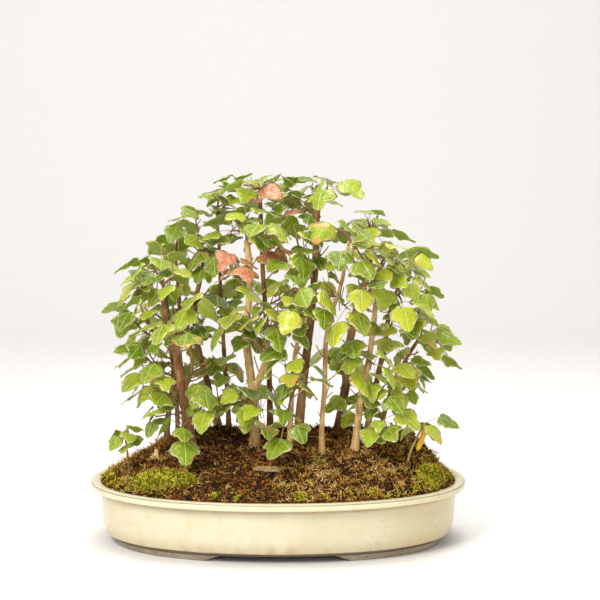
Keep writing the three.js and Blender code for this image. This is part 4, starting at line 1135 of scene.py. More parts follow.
# %% Blades
def blades(leaves, red):
    """Rings across each blade. The cosine of the turn round a ring runs from edge to edge
    and its sine gives the thin body. Off its plane the blade folds about the midrib, curls
    down at the tip, puffs up between its veins, and its margin waves. Young red leaves are
    all lobed, and cut deeper between their lobes."""
    left_lobe, right_lobe, phase, wave, droop = chances(leaves, 31, 32, 33, 34, 35)
    turn = around(8)[None, None]
    lobed = np.where(np.cos(turn) > 0, right_lobe, left_lobe)
    lobed = np.clip(0.1 + 1.3 * lobed + 0.7 * red, 0, 1)
    width, end_place, middle_place = (
        mix(OVATE[None, :, column, None], LOBED[None, :, column, None], lobed)
        for column in range(3))
    forward = mix(middle_place, end_place, np.cos(turn) ** 2)
    width = width * (
        1 + 0.05 * np.sin(23 * forward + 9 * wave + 2 * np.sign(np.cos(turn)))) * (
        1 - 0.36 * red * np.exp(-((forward - 0.62) / 0.13) ** 2))
    sideways = np.cos(turn) * width
    edge = np.abs(np.cos(turn)) + 0 * width
    lift = (stacked(leaves, "fold")[:, None, None] * np.abs(sideways)
            - stacked(leaves, "curl")[:, None, None] * forward ** 2)
    lift += 0.035 * (0.4 + wave) * edge ** 2 * np.sin(
        2 * np.pi * (1.6 * forward + phase + 0.3 * np.sign(sideways)))
    lift -= (0.02 + 0.07 * droop) * smoothstep(0.3, 0.57, np.abs(sideways))
    lift += 0.02 * np.sin(np.pi * edge) * (
        0.5 + np.sin(17 * forward + 6 * phase + 2 * np.sign(sideways)))
    length = stacked(leaves, "length")[:, None, None]
    body = -np.sin(turn) * (0.2 + 0.12 * np.exp(-forward * 8)) / length
    parts = [(sideways, "across"), (forward, "forward"), (lift + body, "normal")]
    rings = stacked(leaves, "base")[:, None, None] + sum(
        (length * part)[..., None] * stacked(leaves, key)[:, None, None]
        for part, key in parts)
    under = (np.sin(turn) > 0.1) + 0.5 * (np.abs(np.sin(turn)) < 0.1) + 0 * edge
    return rings, sideways, forward, edge, under


# %% Rings round a path, and leaf stalks
def rings_round(path, along, reference, radius, sides):
    """Rings round paths (bodies, steps, 3): the first corner lies along the path's way
    crossed with the reference, and the others follow by the right hand."""
    first = unit(np.cross(along, reference))
    second = np.cross(along, first)
    turn = around(sides)[:, None]
    radius = np.broadcast_to(radius, (*path.shape[:2], sides))[..., None]
    return path[:, :, None] + radius * (
        np.cos(turn) * first[:, :, None] + np.sin(turn) * second[:, :, None])


def stalks(leaves):
    """Thin tubes from inside the twig to the foot of each blade, thicker at both ends and
    bowed a little."""
    t = np.linspace(0, 1, 6)
    root, stalk = stacked(leaves, "root"), stacked(leaves, "stalk")
    start = root - stalk * 0.6
    stop = stacked(leaves, "base") + stacked(leaves, "forward") * 0.8
    side = unit(np.cross(stalk, UP))
    bow = np.cross(side, stalk) * (0.06 * stacked(leaves, "reach"))[:, None]
    path = (start[:, None] + t[:, None] * (stop - start)[:, None]
            + (4 * t * (1 - t))[:, None] * bow[:, None])
    radius = 0.36 + 0.25 * np.exp(-t * 9) + 0.14 * np.exp(-(1 - t) * 8)
    along = unit(stop - start)[:, None]
    return rings_round(path, along, side[:, None], radius[None, :, None], 6)


few = shoots[0]["leaves"][0]
print("blades of", len(few), "leaves", blades(few, False)[0].shape, "and stalks",
      stalks(few).shape)

# %% Colours that differ from leaf to leaf
RED_SPOTS = np.array([(-15, 369), (15, 354)])  # x and z where young red leaves stand


def leaf_moods(leaves, red):
    """Tint, yellowness, blush and redness of each leaf. The right of the crown and its low
    left end are more yellow, its top and foot less; a few leaves blush at the edge."""
    tint, yellow, blush, warm = chances(leaves, 41, 42, 43, 44)[:, :, 0, 0]
    x, z = stacked(leaves, "base")[:, 0], stacked(leaves, "base")[:, 2]
    lean = (0.14 + 0.2 * smoothstep(-20, 120, x) - 0.25 * smoothstep(320, 365, z)
            - 0.22 * smoothstep(215, 150, z)
            + 0.4 * smoothstep(-135, -150, x) * smoothstep(150, 135, z))
    yellow = np.clip(lean + 0.95 * (yellow - 0.45), 0, 1)
    blush = np.where(blush > 0.78, 0.4 + 0.6 * warm, 0.15 * warm)
    redness = np.full(len(leaves), 1.0 if red else 0.0)
    away = np.hypot(x[:, None] - RED_SPOTS[:, 0], z[:, None] - RED_SPOTS[:, 1]).min(axis=1)
    redness = np.maximum(redness, 0.85 * (away < 13) * (tint < 0.75))
    return {"tint": tint, "yellow": yellow, "blush": blush, "red": redness * (0.8 + 0.2 * warm)}


print("how yellow", leaf_moods(few, False)["yellow"].round(2))


# %% Leaves into a bundle
def add_leaves(bundle, leaves, red):
    """Adds blades with finish 0 and stalks with finish 1."""
    rings, sideways, forward, edge, under = blades(leaves, red)
    uv = np.stack([loft_values(sideways), loft_values(forward + 0 * sideways)], axis=-1)
    shape = np.ones(rings.shape[:3])
    moods = {key: loft_values(value[:, None, None] * shape)
             for key, value in leaf_moods(leaves, red).items()}
    bundle.add(loft(rings), 0, uv, edge=loft_values(edge + 0 * sideways),
               under=loft_values(under), **moods)
    bundle.add(loft(stalks(leaves)), 1, young=1.0)


# %% Veins
# The midrib, a vein to each side lobe, and pleats with a fine branch in each.
leaf_look = Finish("maple_leaf")
spot = leaf_look.node("UVMap", {"uv_map": "blade"}, output="UV")
sideways = leaf_look.node("SeparateXYZ", None, {"Vector": spot}, output="X").math("ABSOLUTE")
forward = leaf_look.node("SeparateXYZ", None, {"Vector": spot}, output="Y")
midrib = 1 - sideways.rise(0.012, 0.04)
lobe_vein = 1 - (sideways * 0.633 - forward * 0.774).math("ABSOLUTE").rise(0.008, 0.03)
lobe_vein = lobe_vein * (1 - sideways.rise(0.4, 0.56))
pleat = (forward * 8.5 - sideways * 7.0).math("PINGPONG", 0.5)
branch = (1 - pleat.rise(0.0, 0.09)) * forward.rise(0.12, 0.3)
veins = midrib.math("MAXIMUM", lobe_vein).math("MAXIMUM", branch * 0.4)
print("nodes for the veins", len(leaf_look.tree.nodes))

# %% Finish of the blades
# Green to yellow, with pale veins and margin, a blush on some, rust on the young red ones,
# and a paler underside.
place = leaf_look.object_place()
mottle = leaf_look.noise(place, 260, 4, 0.6)
patchy = leaf_look.noise(place, 70, 3)
tint, outward, blush, under = (
    leaf_look.attribute(name) for name in ("tint", "edge", "blush", "under"))
yellow = leaf_look.attribute("yellow") + (patchy - 0.5) * 1.1 + (outward - 0.5) * 0.4
margin = outward.rise(0.78, 0.91)
rust = leaf_look.layers(
    leaf_look.blend(mottle.rise(0.3, 0.7), (0.47, 0.1, 0.07), (0.7, 0.25, 0.175)),
    (tint.rise(0.4, 1) * patchy.rise(0.4, 0.6) * 0.6, (0.64, 0.28, 0.1)))
green = leaf_look.layers(
    leaf_look.blend(tint * 0.75 + (mottle - 0.5) * 0.9,
                    (0.088, 0.15, 0.004), (0.505, 0.598, 0.022)),
    (yellow.rise(0.15, 1.1) * 0.75, (0.66, 0.575, 0.028)),
    (veins * 0.5, (0.55, 0.64, 0.18)),
    (margin * 0.9, (0.9, 0.85, 0.42)),
    ((margin * 0.5 + patchy.rise(0.5, 0.72) * blush) * blush, (0.62, 0.28, 0.07)),
    (leaf_look.attribute("red"), rust),
    (under * 0.5, (0.33, 0.44, 0.08)))
relief = veins * -0.5 + leaf_look.noise(place, 190, 2) * 1.3 + pleat * 0.3
leaf_finish = leaf_look.surface(
    Base_Color=green, Roughness=0.2 + mottle * 0.22 + under * 0.25, Specular_IOR_Level=0.55,
    Specular_Tint=(0.9, 1.0, 0.6, 1.0), Coat_Roughness=0.16,
    Coat_Weight=patchy.rise(0.42, 0.6) * (1 - under) * 0.6,
    Subsurface_Weight=0.4, Subsurface_Radius=(0.7, 1.0, 0.2), Subsurface_Scale=0.0012,
    Normal=leaf_look.bump(relief, 0.0011, 1.0))

# %% Finish of twigs and leaf stalks
twig_look = Finish("twig_and_stalk")
streak = twig_look.noise(twig_look.object_place((1, 1, 0.3)), 700, 3)
woody = twig_look.blend(streak.rise(0.3, 0.7), (0.095, 0.048, 0.023), (0.3, 0.17, 0.08))
fresh = twig_look.blend(twig_look.noise(twig_look.object_place(), 45, 2).rise(0.35, 0.65),
                        (0.42, 0.19, 0.1), (0.5, 0.4, 0.14))
twig_finish = twig_look.surface(
    Base_Color=twig_look.blend(twig_look.attribute("young"), woody, fresh),
    Roughness=0.55 + streak * 0.2, Specular_IOR_Level=0.3,
    Normal=twig_look.bump(streak, 0.0002, 0.6))


# %% Twigs as tubes
def tube(path, radius, reference, sides):
    """Rings square to each path, whose way at a point is that between its neighbours."""
    return rings_round(path, unit(np.gradient(path, axis=1)), reference, radius, sides)


def twig_tube(twig, fork):
    """The tube starts inside what carries it. It swells by a quarter at each joint, where
    leaves stand or stood, and is a little uneven."""
    path = twig["path"]
    share = np.linspace(0, 1, max(8, int(length_of(path) / 1.5)))
    places = path.at(share)
    sunk = places[0] - twig["way"] * (0.5 if fork else 2.2)
    places = np.vstack([sunk, places])
    share = np.concatenate([[0], share])
    radius = mix(*twig["radius"], share) * 0.92
    joint = np.exp(-((share[:, None] - np.array([0.3, 0.45, 0.58, 0.8, 0.97])) / 0.02) ** 2)
    radius = radius * (1 + 0.25 * joint.sum(axis=1) + 0.06 * ripple(places, 5, 8))
    return tube(places[None], radius[None, :, None], twig["plane"], 8)


SPUR_TOP = 389


def spurs(path, keys, count, lengths, thickness):
    """Bare spurs that leave a path sideways, bend upward and end in a swollen bud. Near the
    top of the crown they are shorter, so that none rises out of it."""
    rings = []
    for number in range(count):
        chance = [draw(*keys, number, 300 + salt) for salt in range(4)]
        share, turn = mix(0.15, 0.92, chance[0]), 2 * np.pi * chance[1]
        ahead = heading(path, share)
        aside = unit(np.cross(ahead, [math.cos(turn), math.sin(turn), 0.3]))
        way = unit(aside + 0.55 * ahead)
        t = np.linspace(0, 1, 7)[:, None]
        root = path.at(share)
        length = min(mix(*lengths, chance[2]), 0.7 * (SPUR_TOP - root[2]))
        places = root + length * (
            way * t + (UP * 0.3 + 0.25 * np.cross(way, ahead) * (chance[3] - 0.5)) * t ** 2)
        radius = thickness * (1 - 0.45 * t + 0.35 * np.exp(-((t - 0.9) / 0.08) ** 2))
        rings.append(tube(places[None], radius[None], np.cross(way, ahead), 6)[0])
    return np.array(rings)


print("rings of a few spurs", spurs(first_trunk, (0,), 4, (6, 17), 0.7).shape)

# %% The leafy shoots as pieces
for shoot in shoots:
    bundle = Bundle()
    leaves = [leaf for found in shoot["leaves"] for leaf in found]
    add_leaves(bundle, leaves, shoot["red"])
    for index, twig in enumerate(shoot["twigs"]):
        bundle.add(loft(twig_tube(twig, index > 0)), 1, young=0.12)
        bundle.add(loft(spurs(twig["path"], (*shoot["keys"], index), 4, (6, 17), 0.7)), 1,
                   young=0.2)
    bundle.piece("fine_" + shoot["name"], [leaf_finish, twig_finish],
                 "leaf_red" if shoot["red"] else "leaf_green", [shoot["name"]])

# %% [markdown]
# ## Trunks
#
# The trunks are thin, pale and tan in front and browner behind. Their bark is smooth with
# fine streaks, old leaf joints run round them like rings, pruned twigs have left stubs, and
# bare spurs end in a bud. Each limb is a tube again, with the joints and furrows in its
# radius.

# %% A limb with its bark
def limb_rings(limb, is_trunk, key):
    """Rings 1.5 mm apart. The radius tapers, flares at a trunk's foot with a few root
    ridges, swells at joints some 24 mm apart, and has shallow furrows that wind up."""
    path = Spline(limb["points"])
    reach = length_of(path)
    share = np.linspace(0, 1, int(reach / 1.5))[:, None]
    places = path.at(share[:, 0])
    radius = mix(*limb["radius"], share ** 0.8)
    turn = around(20)[None]
    above = share * reach
    if is_trunk:
        ridges = np.cos(turn * (3 + key % 3) + key) ** 2
        radius = radius * (1 + 0.25 * np.exp(-share / 0.05))
        radius = radius * (1 + 0.35 * ridges * np.exp(-above / 4))
    joints = np.cumsum([mix(16, 32, draw(70, key, number)) for number in range(24)])
    swell = np.exp(-((above - joints) / 1.1) ** 2).sum(axis=1, keepdims=True)
    furrow = np.sin(3 * turn + 0.05 * above + key) + 0.7 * np.sin(5 * turn - 0.08 * above)
    skin = np.stack(np.broadcast_arrays(4 * np.cos(turn), 4 * np.sin(turn), above), axis=-1)
    rough = ripple(places, 11, key + 20)[:, None] + 0.8 * ripple(skin, 7, key + 40)
    radius = radius * (1 + 0.1 * swell + 0.025 * furrow + 0.035 * rough)
    radius[-1] *= 0.6
    if is_trunk:
        deep = places[:1] - UP * np.array([[9.0]])
        places = np.vstack([deep, places])
        radius = np.vstack([radius[:1], radius])
    return tube(places[None], radius[None], BACKWARDS, 20)


def stub_rings(limb, key):
    """Short stumps of pruned twigs: cones that leave the limb sideways and a little up."""
    path = Spline(limb["points"])
    rings = []
    for number in range(3):
        share = mix(0.12, 0.9, draw(80, key, number))
        turn = 2 * np.pi * draw(81, key, number)
        way = unit(np.array([math.cos(turn), math.sin(turn), 0.5]))
        radius = mix(*limb["radius"], share ** 0.8)
        t = np.array([0, 0.5, 0.85, 1.0])[:, None]
        places = path.at(share) + way * t * (radius + mix(1.5, 4, draw(82, key, number)))
        size = radius * 0.5 * np.array([1.2, 0.85, 0.7, 0.35])
        rings.append(tube(places[None], size[None, :, None], UP, 8))
    return np.concatenate(rings)


print("rings of the first trunk", limb_rings(TREES["maple_01"]["limbs"][0], True, 0).shape)

# %% Finish of the bark
def bark_finish(name, dark, light):
    """Fine streaks up the limb, pale flecks and a little grey."""
    bark = Finish(name)
    streak = bark.noise(bark.object_place((1, 1, 0.12)), 520, 4, 0.6)
    cloud = bark.noise(bark.object_place(), 38, 4, 0.6)
    fleck = bark.node("TexVoronoi", None, {
        "Vector": bark.object_place((1, 1, 2.4)), "Scale": 420.0}, output="Distance")
    pale = tuple(min(1.0, 1.35 * part + 0.03) for part in light)
    colour = bark.layers(
        bark.blend((streak * 0.6 + cloud * 0.6).rise(0.44, 0.74), dark, light),
        ((1 - fleck.rise(0.1, 0.2)) * 0.5, pale),
        (cloud.rise(0.56, 0.7) * 0.15, (0.3, 0.26, 0.21)))
    return bark.surface(
        Base_Color=colour, Roughness=0.62 + streak * 0.22, Specular_IOR_Level=0.15,
        Normal=bark.bump(streak * 0.7 + cloud * 0.5, 0.0009, 0.8))


tan_bark = bark_finish("tan_bark", (0.34, 0.19, 0.075), (0.74, 0.5, 0.22))
brown_bark = bark_finish("brown_bark", (0.095, 0.04, 0.014), (0.42, 0.22, 0.085))
FRONT_TREES = ("maple_06", "maple_08", "maple_10", "maple_12")

# %% The trunks as pieces
for key, (name, tree) in enumerate(TREES.items()):
    bundle = Bundle()
    for number, limb in enumerate(tree["limbs"]):
        bundle.add(loft(limb_rings(limb, number == 0, key + 20 * number)))
        bundle.add(loft(spurs(Spline(limb["points"]), (key, number), 7, (8, 24), 0.95)))
    bundle.add(loft(stub_rings(tree["limbs"][0], key)))
    front = name in FRONT_TREES
    bundle.piece(f"fine_{name}_trunk", [tan_bark if front else brown_bark],
                 "bark_tan" if front else "bark_brown", [f"{name}_trunk"])

# %% Bare twigs
# A hanging twig, a short one to the left and two thin stems that stand in the soil: points
# in mm and the radius at both ends.
BARE_TWIGS = [
    ([(-12, 21, 180), (-6.8, 16, 162), (1.9, 6, 147), (11.6, -4, 139)], (0.95, 0.45)),
    ([(97, -29.5, 150), (89, -33, 157), (82, -38, 162), (75.5, -40, 169)], (0.9, 0.4)),
    ([(72.6, -40, 98), (73.6, -40, 111), (74.6, -40, 126)], (0.8, 0.5)),
    ([(-62.5, 10, 108), (-63.7, 10, 132), (-64.6, 9, 150), (-66.6, 8, 168)], (1.1, 0.6))]
bare_twigs = Bundle()
share = np.linspace(0, 1, 24)
for points, radius in BARE_TWIGS:
    places = Spline(points).at(share)
    thick = mix(*radius, share) * (1 + 0.15 * ripple(places, 4, 9))
    bare_twigs.add(loft(tube(places[None], thick[None, :, None], BACKWARDS, 8)), young=0.05)
bare_twigs.piece("bare_twigs", [twig_finish], "bark_brown")

# %% [markdown]
# ## Saplings
#
# Two seedlings stand at the ends, each a thread of a stem with leaves in a spiral. They use
# the rings of a limb and the leaves of a shoot. The right one has a swollen orange leaf
# stalk at its head, which is a flat tube.

# %% The swollen stalk
# Its radius is that of an ellipse with half widths 2.9 mm and 0.8 mm, and shrinks at both
# ends.
t = np.linspace(0, 1, 14)[:, None]
turn = around(12)[None]
swollen_path = Spline([(152.8, -50.5, 133), (152, -52.5, 124), (145, -53.5, 106)]).at(t[:, 0])
ellipse = 1 / np.sqrt((np.cos(turn) / 2.9) ** 2 + (np.sin(turn) / 0.8) ** 2)
plump = 0.25 + 0.75 * smoothstep(0.05, 0.45, t) * smoothstep(1.02, 0.9, t)
swollen = tube(swollen_path[None], (ellipse * plump)[None], BACKWARDS, 12)
ripe = Finish("yellowed_stalk")
speck = ripe.noise(ripe.object_place(), 300, 3)
ripe_finish = ripe.surface(
    Base_Color=ripe.blend(speck, (0.7, 0.33, 0.01), (0.9, 0.6, 0.05)),
    Roughness=0.35 + speck * 0.2, Specular_IOR_Level=0.3, Normal=ripe.bump(speck, 0.0003, 0.6))

# %% Saplings
STEM_YOUNG = {"sapling_left": 0.15, "sapling_right": 0.9}
STEM_SHARE = 0.8  # of the frame's radius
for key, sapling in enumerate(saplings):
    spec = SAPLINGS[sapling["name"]]
    bundle = Bundle()
    add_leaves(bundle, sapling["leaves"], False)
    stem = {**spec, "radius": [radius * STEM_SHARE for radius in spec["radius"]]}
    bundle.add(loft(limb_rings(stem, True, key + 60)), 1, young=STEM_YOUNG[sapling["name"]])
    if sapling["name"] == "sapling_right":
        bundle.add(loft(swollen), 2)
    bundle.piece("fine_" + sapling["name"], [leaf_finish, twig_finish, ripe_finish],
                 "leaf_green", [sapling["name"]])

# %% [markdown]
# ## Soil and moss
#
# Damp dark soil fills the pot and rises to a mound, and most of it is under dry moss: tufts
# of brown, rust and gold threads, with live green cushions near the rim. A displaced
# surface alone looks like putty, so it carries thousands of crumbs and moss threads.

# %% Height of the soil
trunk_feet = np.array([tree["limbs"][0]["points"][0][:2] for tree in TREES.values()])


def rim_share(x, y):
    """0 in the middle of the pot and 1 at the soil's edge."""
    return ((np.abs(x) / 188.3) ** OVAL_POWER
            + (np.abs(y) / 118.3) ** OVAL_POWER) ** (1 / OVAL_POWER)


def soil_top(x, y):
    """The mound, with the frame's broad lumps, finer ones, and a rise round each trunk."""
    calm = smoothstep(0, 0.25, 1 - rim_share(x, y))
    lump = np.sin(0.13 * x + 0.9) * np.sin(0.17 * y + 0.4) + 0.6 * np.sin(0.29 * x - 0.23 * y)
    flat = np.stack([x, y, 0 * x], axis=-1)
    away = np.hypot(x[..., None] - trunk_feet[:, 0], y[..., None] - trunk_feet[:, 1])
    return (mound_height(x, y) + 1.5 * calm * lump
            + (0.25 + 0.75 * calm) * (1.4 * ripple(flat, 14, 5) + 0.9 * ripple(flat, 5.5, 6))
            + 2.2 * np.exp(-(away / 9) ** 2).sum(axis=-1))


print("soil between the trunks", soil_top(np.array([-20.0, 40.0]), np.zeros(2)).round(1), "mm")

# %% Rings of the soil: three against the pot's wall, then 97 that close in on top
UNDER_RINGS = [(29.1, 15.3), (19.6, 29.0), (18.1, 54.5)]  # inset and height
soil_angles = even_angles(480)
rings = []
for inset, level in UNDER_RINGS:
    x, y = oval(soil_angles, inset)
    rings.append(np.stack([x, y, level + 0 * x], axis=-1))
shrink = np.concatenate([np.linspace(1, 0.05, 96), [0.02]])[:, None]
x, y = oval(soil_angles, 11.7)
x, y = shrink * x, shrink * y
rings = np.concatenate([np.array(rings), np.stack([x, y, soil_top(x, y)], axis=-1)])
print("soil top", round(float(rings[..., 2].max()), 1), "mm")

# %% Finish of the soil
soil = Finish("damp_soil")
place = soil.object_place()
grain = soil.noise(place, 520, 5, 0.7)
clod = soil.noise(place, 70, 4, 0.6)
pebble = soil.node("TexVoronoi", None, {"Vector": place, "Scale": 620.0}, output="Color")
pebble = soil.node("SeparateColor", None, {"Color": pebble}, output="Red")
earth = soil.layers(
    soil.blend(grain.rise(0.3, 0.72), (0.008, 0.004, 0.002), (0.055, 0.027, 0.012)),
    (clod.rise(0.45, 0.7) * 0.6, (0.085, 0.035, 0.013)),
    (pebble.rise(0.62, 0.95) * 0.75, (0.26, 0.115, 0.035)))
soil_finish = soil.surface(
    Base_Color=earth, Roughness=0.8 + grain * 0.15, Specular_IOR_Level=0.05,
    Normal=soil.bump(grain + clod, 0.0015, 0.9))
ground = Bundle()
ground.add(loft(rings[None]))
ground.piece("fine_soil", [soil_finish], "soil", ["soil"])

# %% Finish of crumbs, dry moss and live moss
# One finish reads three values of each point: a tint from dark to pale, how live it is and
# how rusty.
TINTS = [
    (0.0, (0.01, 0.004, 0.003)), (0.25, (0.05, 0.018, 0.008)), (0.45, (0.18, 0.068, 0.018)),
    (0.62, (0.42, 0.19, 0.038)), (0.8, (0.7, 0.43, 0.1)), (1.0, (0.96, 0.8, 0.4))]
LIVE_TINTS = [
    (0.0, (0.012, 0.014, 0.002)), (0.3, (0.09, 0.092, 0.005)), (0.55, (0.34, 0.335, 0.01)),
    (0.8, (0.63, 0.56, 0.02)), (1.0, (0.84, 0.74, 0.07))]
litter = Finish("litter_and_moss")
shade = litter.attribute("tint") + (litter.noise(litter.object_place(), 300, 2) - 0.5) * 0.25
brown = litter.node("ValToRGB", {"stops": TINTS}, {"Fac": shade}, output="Color")
lively = litter.node("ValToRGB", {"stops": LIVE_TINTS}, {"Fac": shade}, output="Color")
dry = litter.blend(litter.attribute("rust"), brown, (0.56, 0.17, 0.02))
litter_finish = litter.surface(
    Base_Color=litter.blend(litter.attribute("live"), dry, lively),
    Roughness=0.7 + shade * 0.2, Specular_IOR_Level=0.08,
    Normal=litter.bump(litter.noise(litter.object_place(), 1500, 2), 0.0002, 0.5))


# %% Crumbs
def spread(values, rings):
    """One number for each body, or for each body and ring, over all points of a loft."""
    values = values.reshape(len(values), -1, 1)
    return loft_values(np.broadcast_to(values, rings.shape[:3]))


def crumbs(places, sizes, rng):
    """Uneven small bodies: four rings of five points, the radius sqrt(1 - h h) varied at
    random, and each body stretched and turned at random."""
    count = len(places)
    height = np.array([-0.8, -0.3, 0.3, 0.8])
    turn = around(5)
    radius = np.sqrt(1 - height ** 2)[None, :, None] * rng.uniform(0.75, 1.25, (count, 4, 5))
    flat = np.stack([radius * np.cos(turn), radius * np.sin(turn),
                     height[None, :, None] + 0 * radius], axis=-1)
    axes = np.linalg.qr(rng.normal(size=(count, 3, 3)))[0]
    axes[:, :, 2] = np.cross(axes[:, :, 0], axes[:, :, 1])
    stretch = rng.uniform(0.6, 1.3, (count, 1, 1, 3)) * sizes[:, None, None, None]
    return places[:, None, None] + np.einsum("nijk,nlk->nijl", flat * stretch, axes)


def scatter(count, rng, keep=0.985):
    """Random places on the soil, thrown evenly over the oval out to a share of its edge."""
    x, y = rng.uniform(-188, 188, 3 * count), rng.uniform(-118, 118, 3 * count)
    inside = rim_share(x, y) < keep
    x, y = x[inside][:count], y[inside][:count]
    return np.stack([x, y, soil_top(x, y)], axis=-1)


# %% Crumbs on the soil
# They are thick where the soil is open, left of the middle, and thin under the dry moss. A
# band of rust-red ones lies in front of the middle.
rng = np.random.default_rng(11)
spots = scatter(9000, rng)
open_soil = (spots[:, 0] < 10) & (spots[:, 0] > -105)
spots = spots[rng.random(len(spots)) < mix(0.25, 1, open_soil)]
sizes = rng.uniform(0.5, 1.45, len(spots)) ** 1.5
rusty = np.exp(-((spots[:, 0] + 17) / 18) ** 2 - ((spots[:, 1] + 60) / 12) ** 2)
rusty = rusty * (rng.random(len(spots)) < 0.75) * rng.uniform(0.5, 1, len(spots))
rusty = np.maximum(rusty, 0.6 * (rng.random(len(spots)) > 0.95))
sizes = np.minimum(sizes * (1 + 0.5 * rusty), 1.7)
tint = rng.uniform(0, 0.5, len(spots)) ** 1.3 + 0.4 * (rng.random(len(spots)) > 0.97)
print("crumbs", len(spots))
rings = crumbs(spots, sizes, rng)
grains = Bundle()
grains.add(loft(rings), tint=spread(tint, rings), rust=spread(rusty, rings))
grains.piece("soil_crumbs", [litter_finish], "soil")


# %% Threads and tufts
def threads(roots, ways, lengths, bends, thickness, t=(0, 0.5, 1)):
    """Three-sided hairs along root + l (way t + bend t t), thin at the end."""
    t = np.array(t)
    step = lengths[:, None, None]
    path = roots[:, None] + step * (ways[:, None] * t[:, None] + bends[:, None] * t[:, None] ** 2)
    radius = thickness[:, None, None] * (1.1 - 0.85 * t ** 2)[None, :, None]
    return tube(path, radius, unit(np.cross(ways, bends + 0.01))[:, None], 3)


def tuft_rings(centres, per_tuft, reach, thickness, rng):
    """Threads that fan out of each centre and curl at random."""
    size = (len(centres), per_tuft)
    turn, lean = rng.uniform(0, 2 * np.pi, size), rng.uniform(0.1, 1.25, size)
    ways = np.stack([np.cos(turn) * np.sin(lean), np.sin(turn) * np.sin(lean),
                     np.cos(lean)], axis=-1)
    roots = centres[:, None] + ways * (1.1, 1.1, 0) - UP * 0.5
    bends = rng.normal(0, 0.4, ways.shape) - UP * 0.15
    lengths = rng.uniform(0.5, 1.0, size) * reach[:, None]
    thick = rng.uniform(0.7, 1.2, size) * thickness
    return threads(roots.reshape(-1, 3), ways.reshape(-1, 3), lengths.ravel(),
                   bends.reshape(-1, 3), thick.ravel())


def tufts(name, slot, centres, tint, live, per_tuft, reach, thickness, rng):
    """A piece of tufts. Each thread is dark at its root and pale at its tip: painted shade down
    in the tuft and painted light on the tips.
    """
    rust = np.clip(rng.normal(0.12, 0.2, len(centres)), 0, 0.7) * (1 - live)
    rings = tuft_rings(centres, per_tuft, reach, thickness, rng)
    # Dark at the root, pale at the tip: painted shade down in the tuft, painted light on the tips.
    along = np.array([-0.55, -0.04, 0.42])
    tint = np.repeat(tint, per_tuft) + rng.normal(0, 0.16, len(rings))
    bundle = Bundle()
    bundle.add(loft(rings), tint=spread((tint[:, None] + along).clip(0.02, 1), rings),
               live=spread(np.repeat(live, per_tuft), rings),
               rust=spread(np.repeat(rust, per_tuft), rings))
    return bundle.piece(name, [litter_finish], slot)


# %% Dry moss
def dry_cover(x, y):
    """How much of the soil is covered: nearly all of it on the right and at the left end,
    less between and among the trunks."""
    right, left_end = smoothstep(-14, 16, x), smoothstep(-88, -112, x)
    return np.clip(0.7 + right + 0.75 * left_end + 0.1 * smoothstep(-55, -20, y), 0, 1)


rng = np.random.default_rng(23)
spots = scatter(7000, rng, 0.995)
spots = spots[rng.random(len(spots)) < dry_cover(spots[:, 0], spots[:, 1])
              * mix(1, 0.7, smoothstep(0, 40, spots[:, 1]))]
x, y = spots[:, 0], spots[:, 1]
cover = dry_cover(x, y)
flat = spots * (1, 1, 0)

# %% Tint, life and length of the dry moss
# It is pale in front on the right and at the left end, darker among the trunks with painted
# shadow of the crown, paler on top of the soil's lumps and darker in their hollows with painted
# shade, and half alive near the rim.
bright = smoothstep(-10, 25, x) * smoothstep(-35, -60, y)
bright = np.maximum(bright, 0.5 * smoothstep(-95, -125, x))
tint = mix(0.33, 0.52, bright) + 0.08 * ripple(flat, 26, 9)
# The same waves as the soil's lumps: painted light on their tops, painted shade in their hollows.
tint += 0.15 * ripple(flat, 14, 5) + 0.13 * ripple(flat, 5.5, 6)
tint += 0.08 * ripple(flat, 5.5, 35)
# Darker among the trunks: painted shadow of the crown.
tint -= 0.22 * smoothstep(-45, -15, y) * smoothstep(-110, -75, x) * smoothstep(125, 95, x)
rim = mix(smoothstep(0.86, 0.99, rim_share(x, y)), smoothstep(0.76, 0.95, rim_share(x, y)),
          (x > 100) & (y > -62))
live = np.clip(0.75 * (rng.random(len(x)) > 0.9) + rim * (rng.random(len(x)) > 0.45)
               * (np.abs(x) > 110), 0, 0.9)
print("mean tint", tint.mean().round(2), "and share alive", (live > 0.5).mean().round(2))
reach = mix(2.6, 5.6, rng.random(len(x))) * mix(0.6, 1, smoothstep(0.7, 1, cover))
reach = reach * (1 + 0.5 * smoothstep(-15, 10, y) * (rng.random(len(x)) > 0.7) * (x < 90))

# %% The dry moss as four pieces
# The tufts stand in clumps, with dark gaps of bare soil between, and leave one round hollow.
# One carpet would be too heavy a mesh, so it is cut into four stretches from left to right.
clumps = ripple(flat, 10, 51) + 0.6 * ripple(flat, 5.5, 52)
reach = reach * (1.1 + 0.2 * np.clip(clumps, -1, 1))
# The short tufts between the clumps are darker: painted shade in the gaps.
tint += 0.1 * np.clip(clumps, -1, 1)
keep = (np.hypot(x - 72, y + 72) > 8) & (clumps > -0.45)
stretch = np.digitize(x, [-75, 0, 70])
for number in range(4):
    part = keep & (stretch == number)
    tufts(f"dry_moss_{number + 1}", "soil", spots[part], tint[part], live[part], 7,
          reach[part], 0.56, rng)
print("tufts of dry moss", int(keep.sum()))

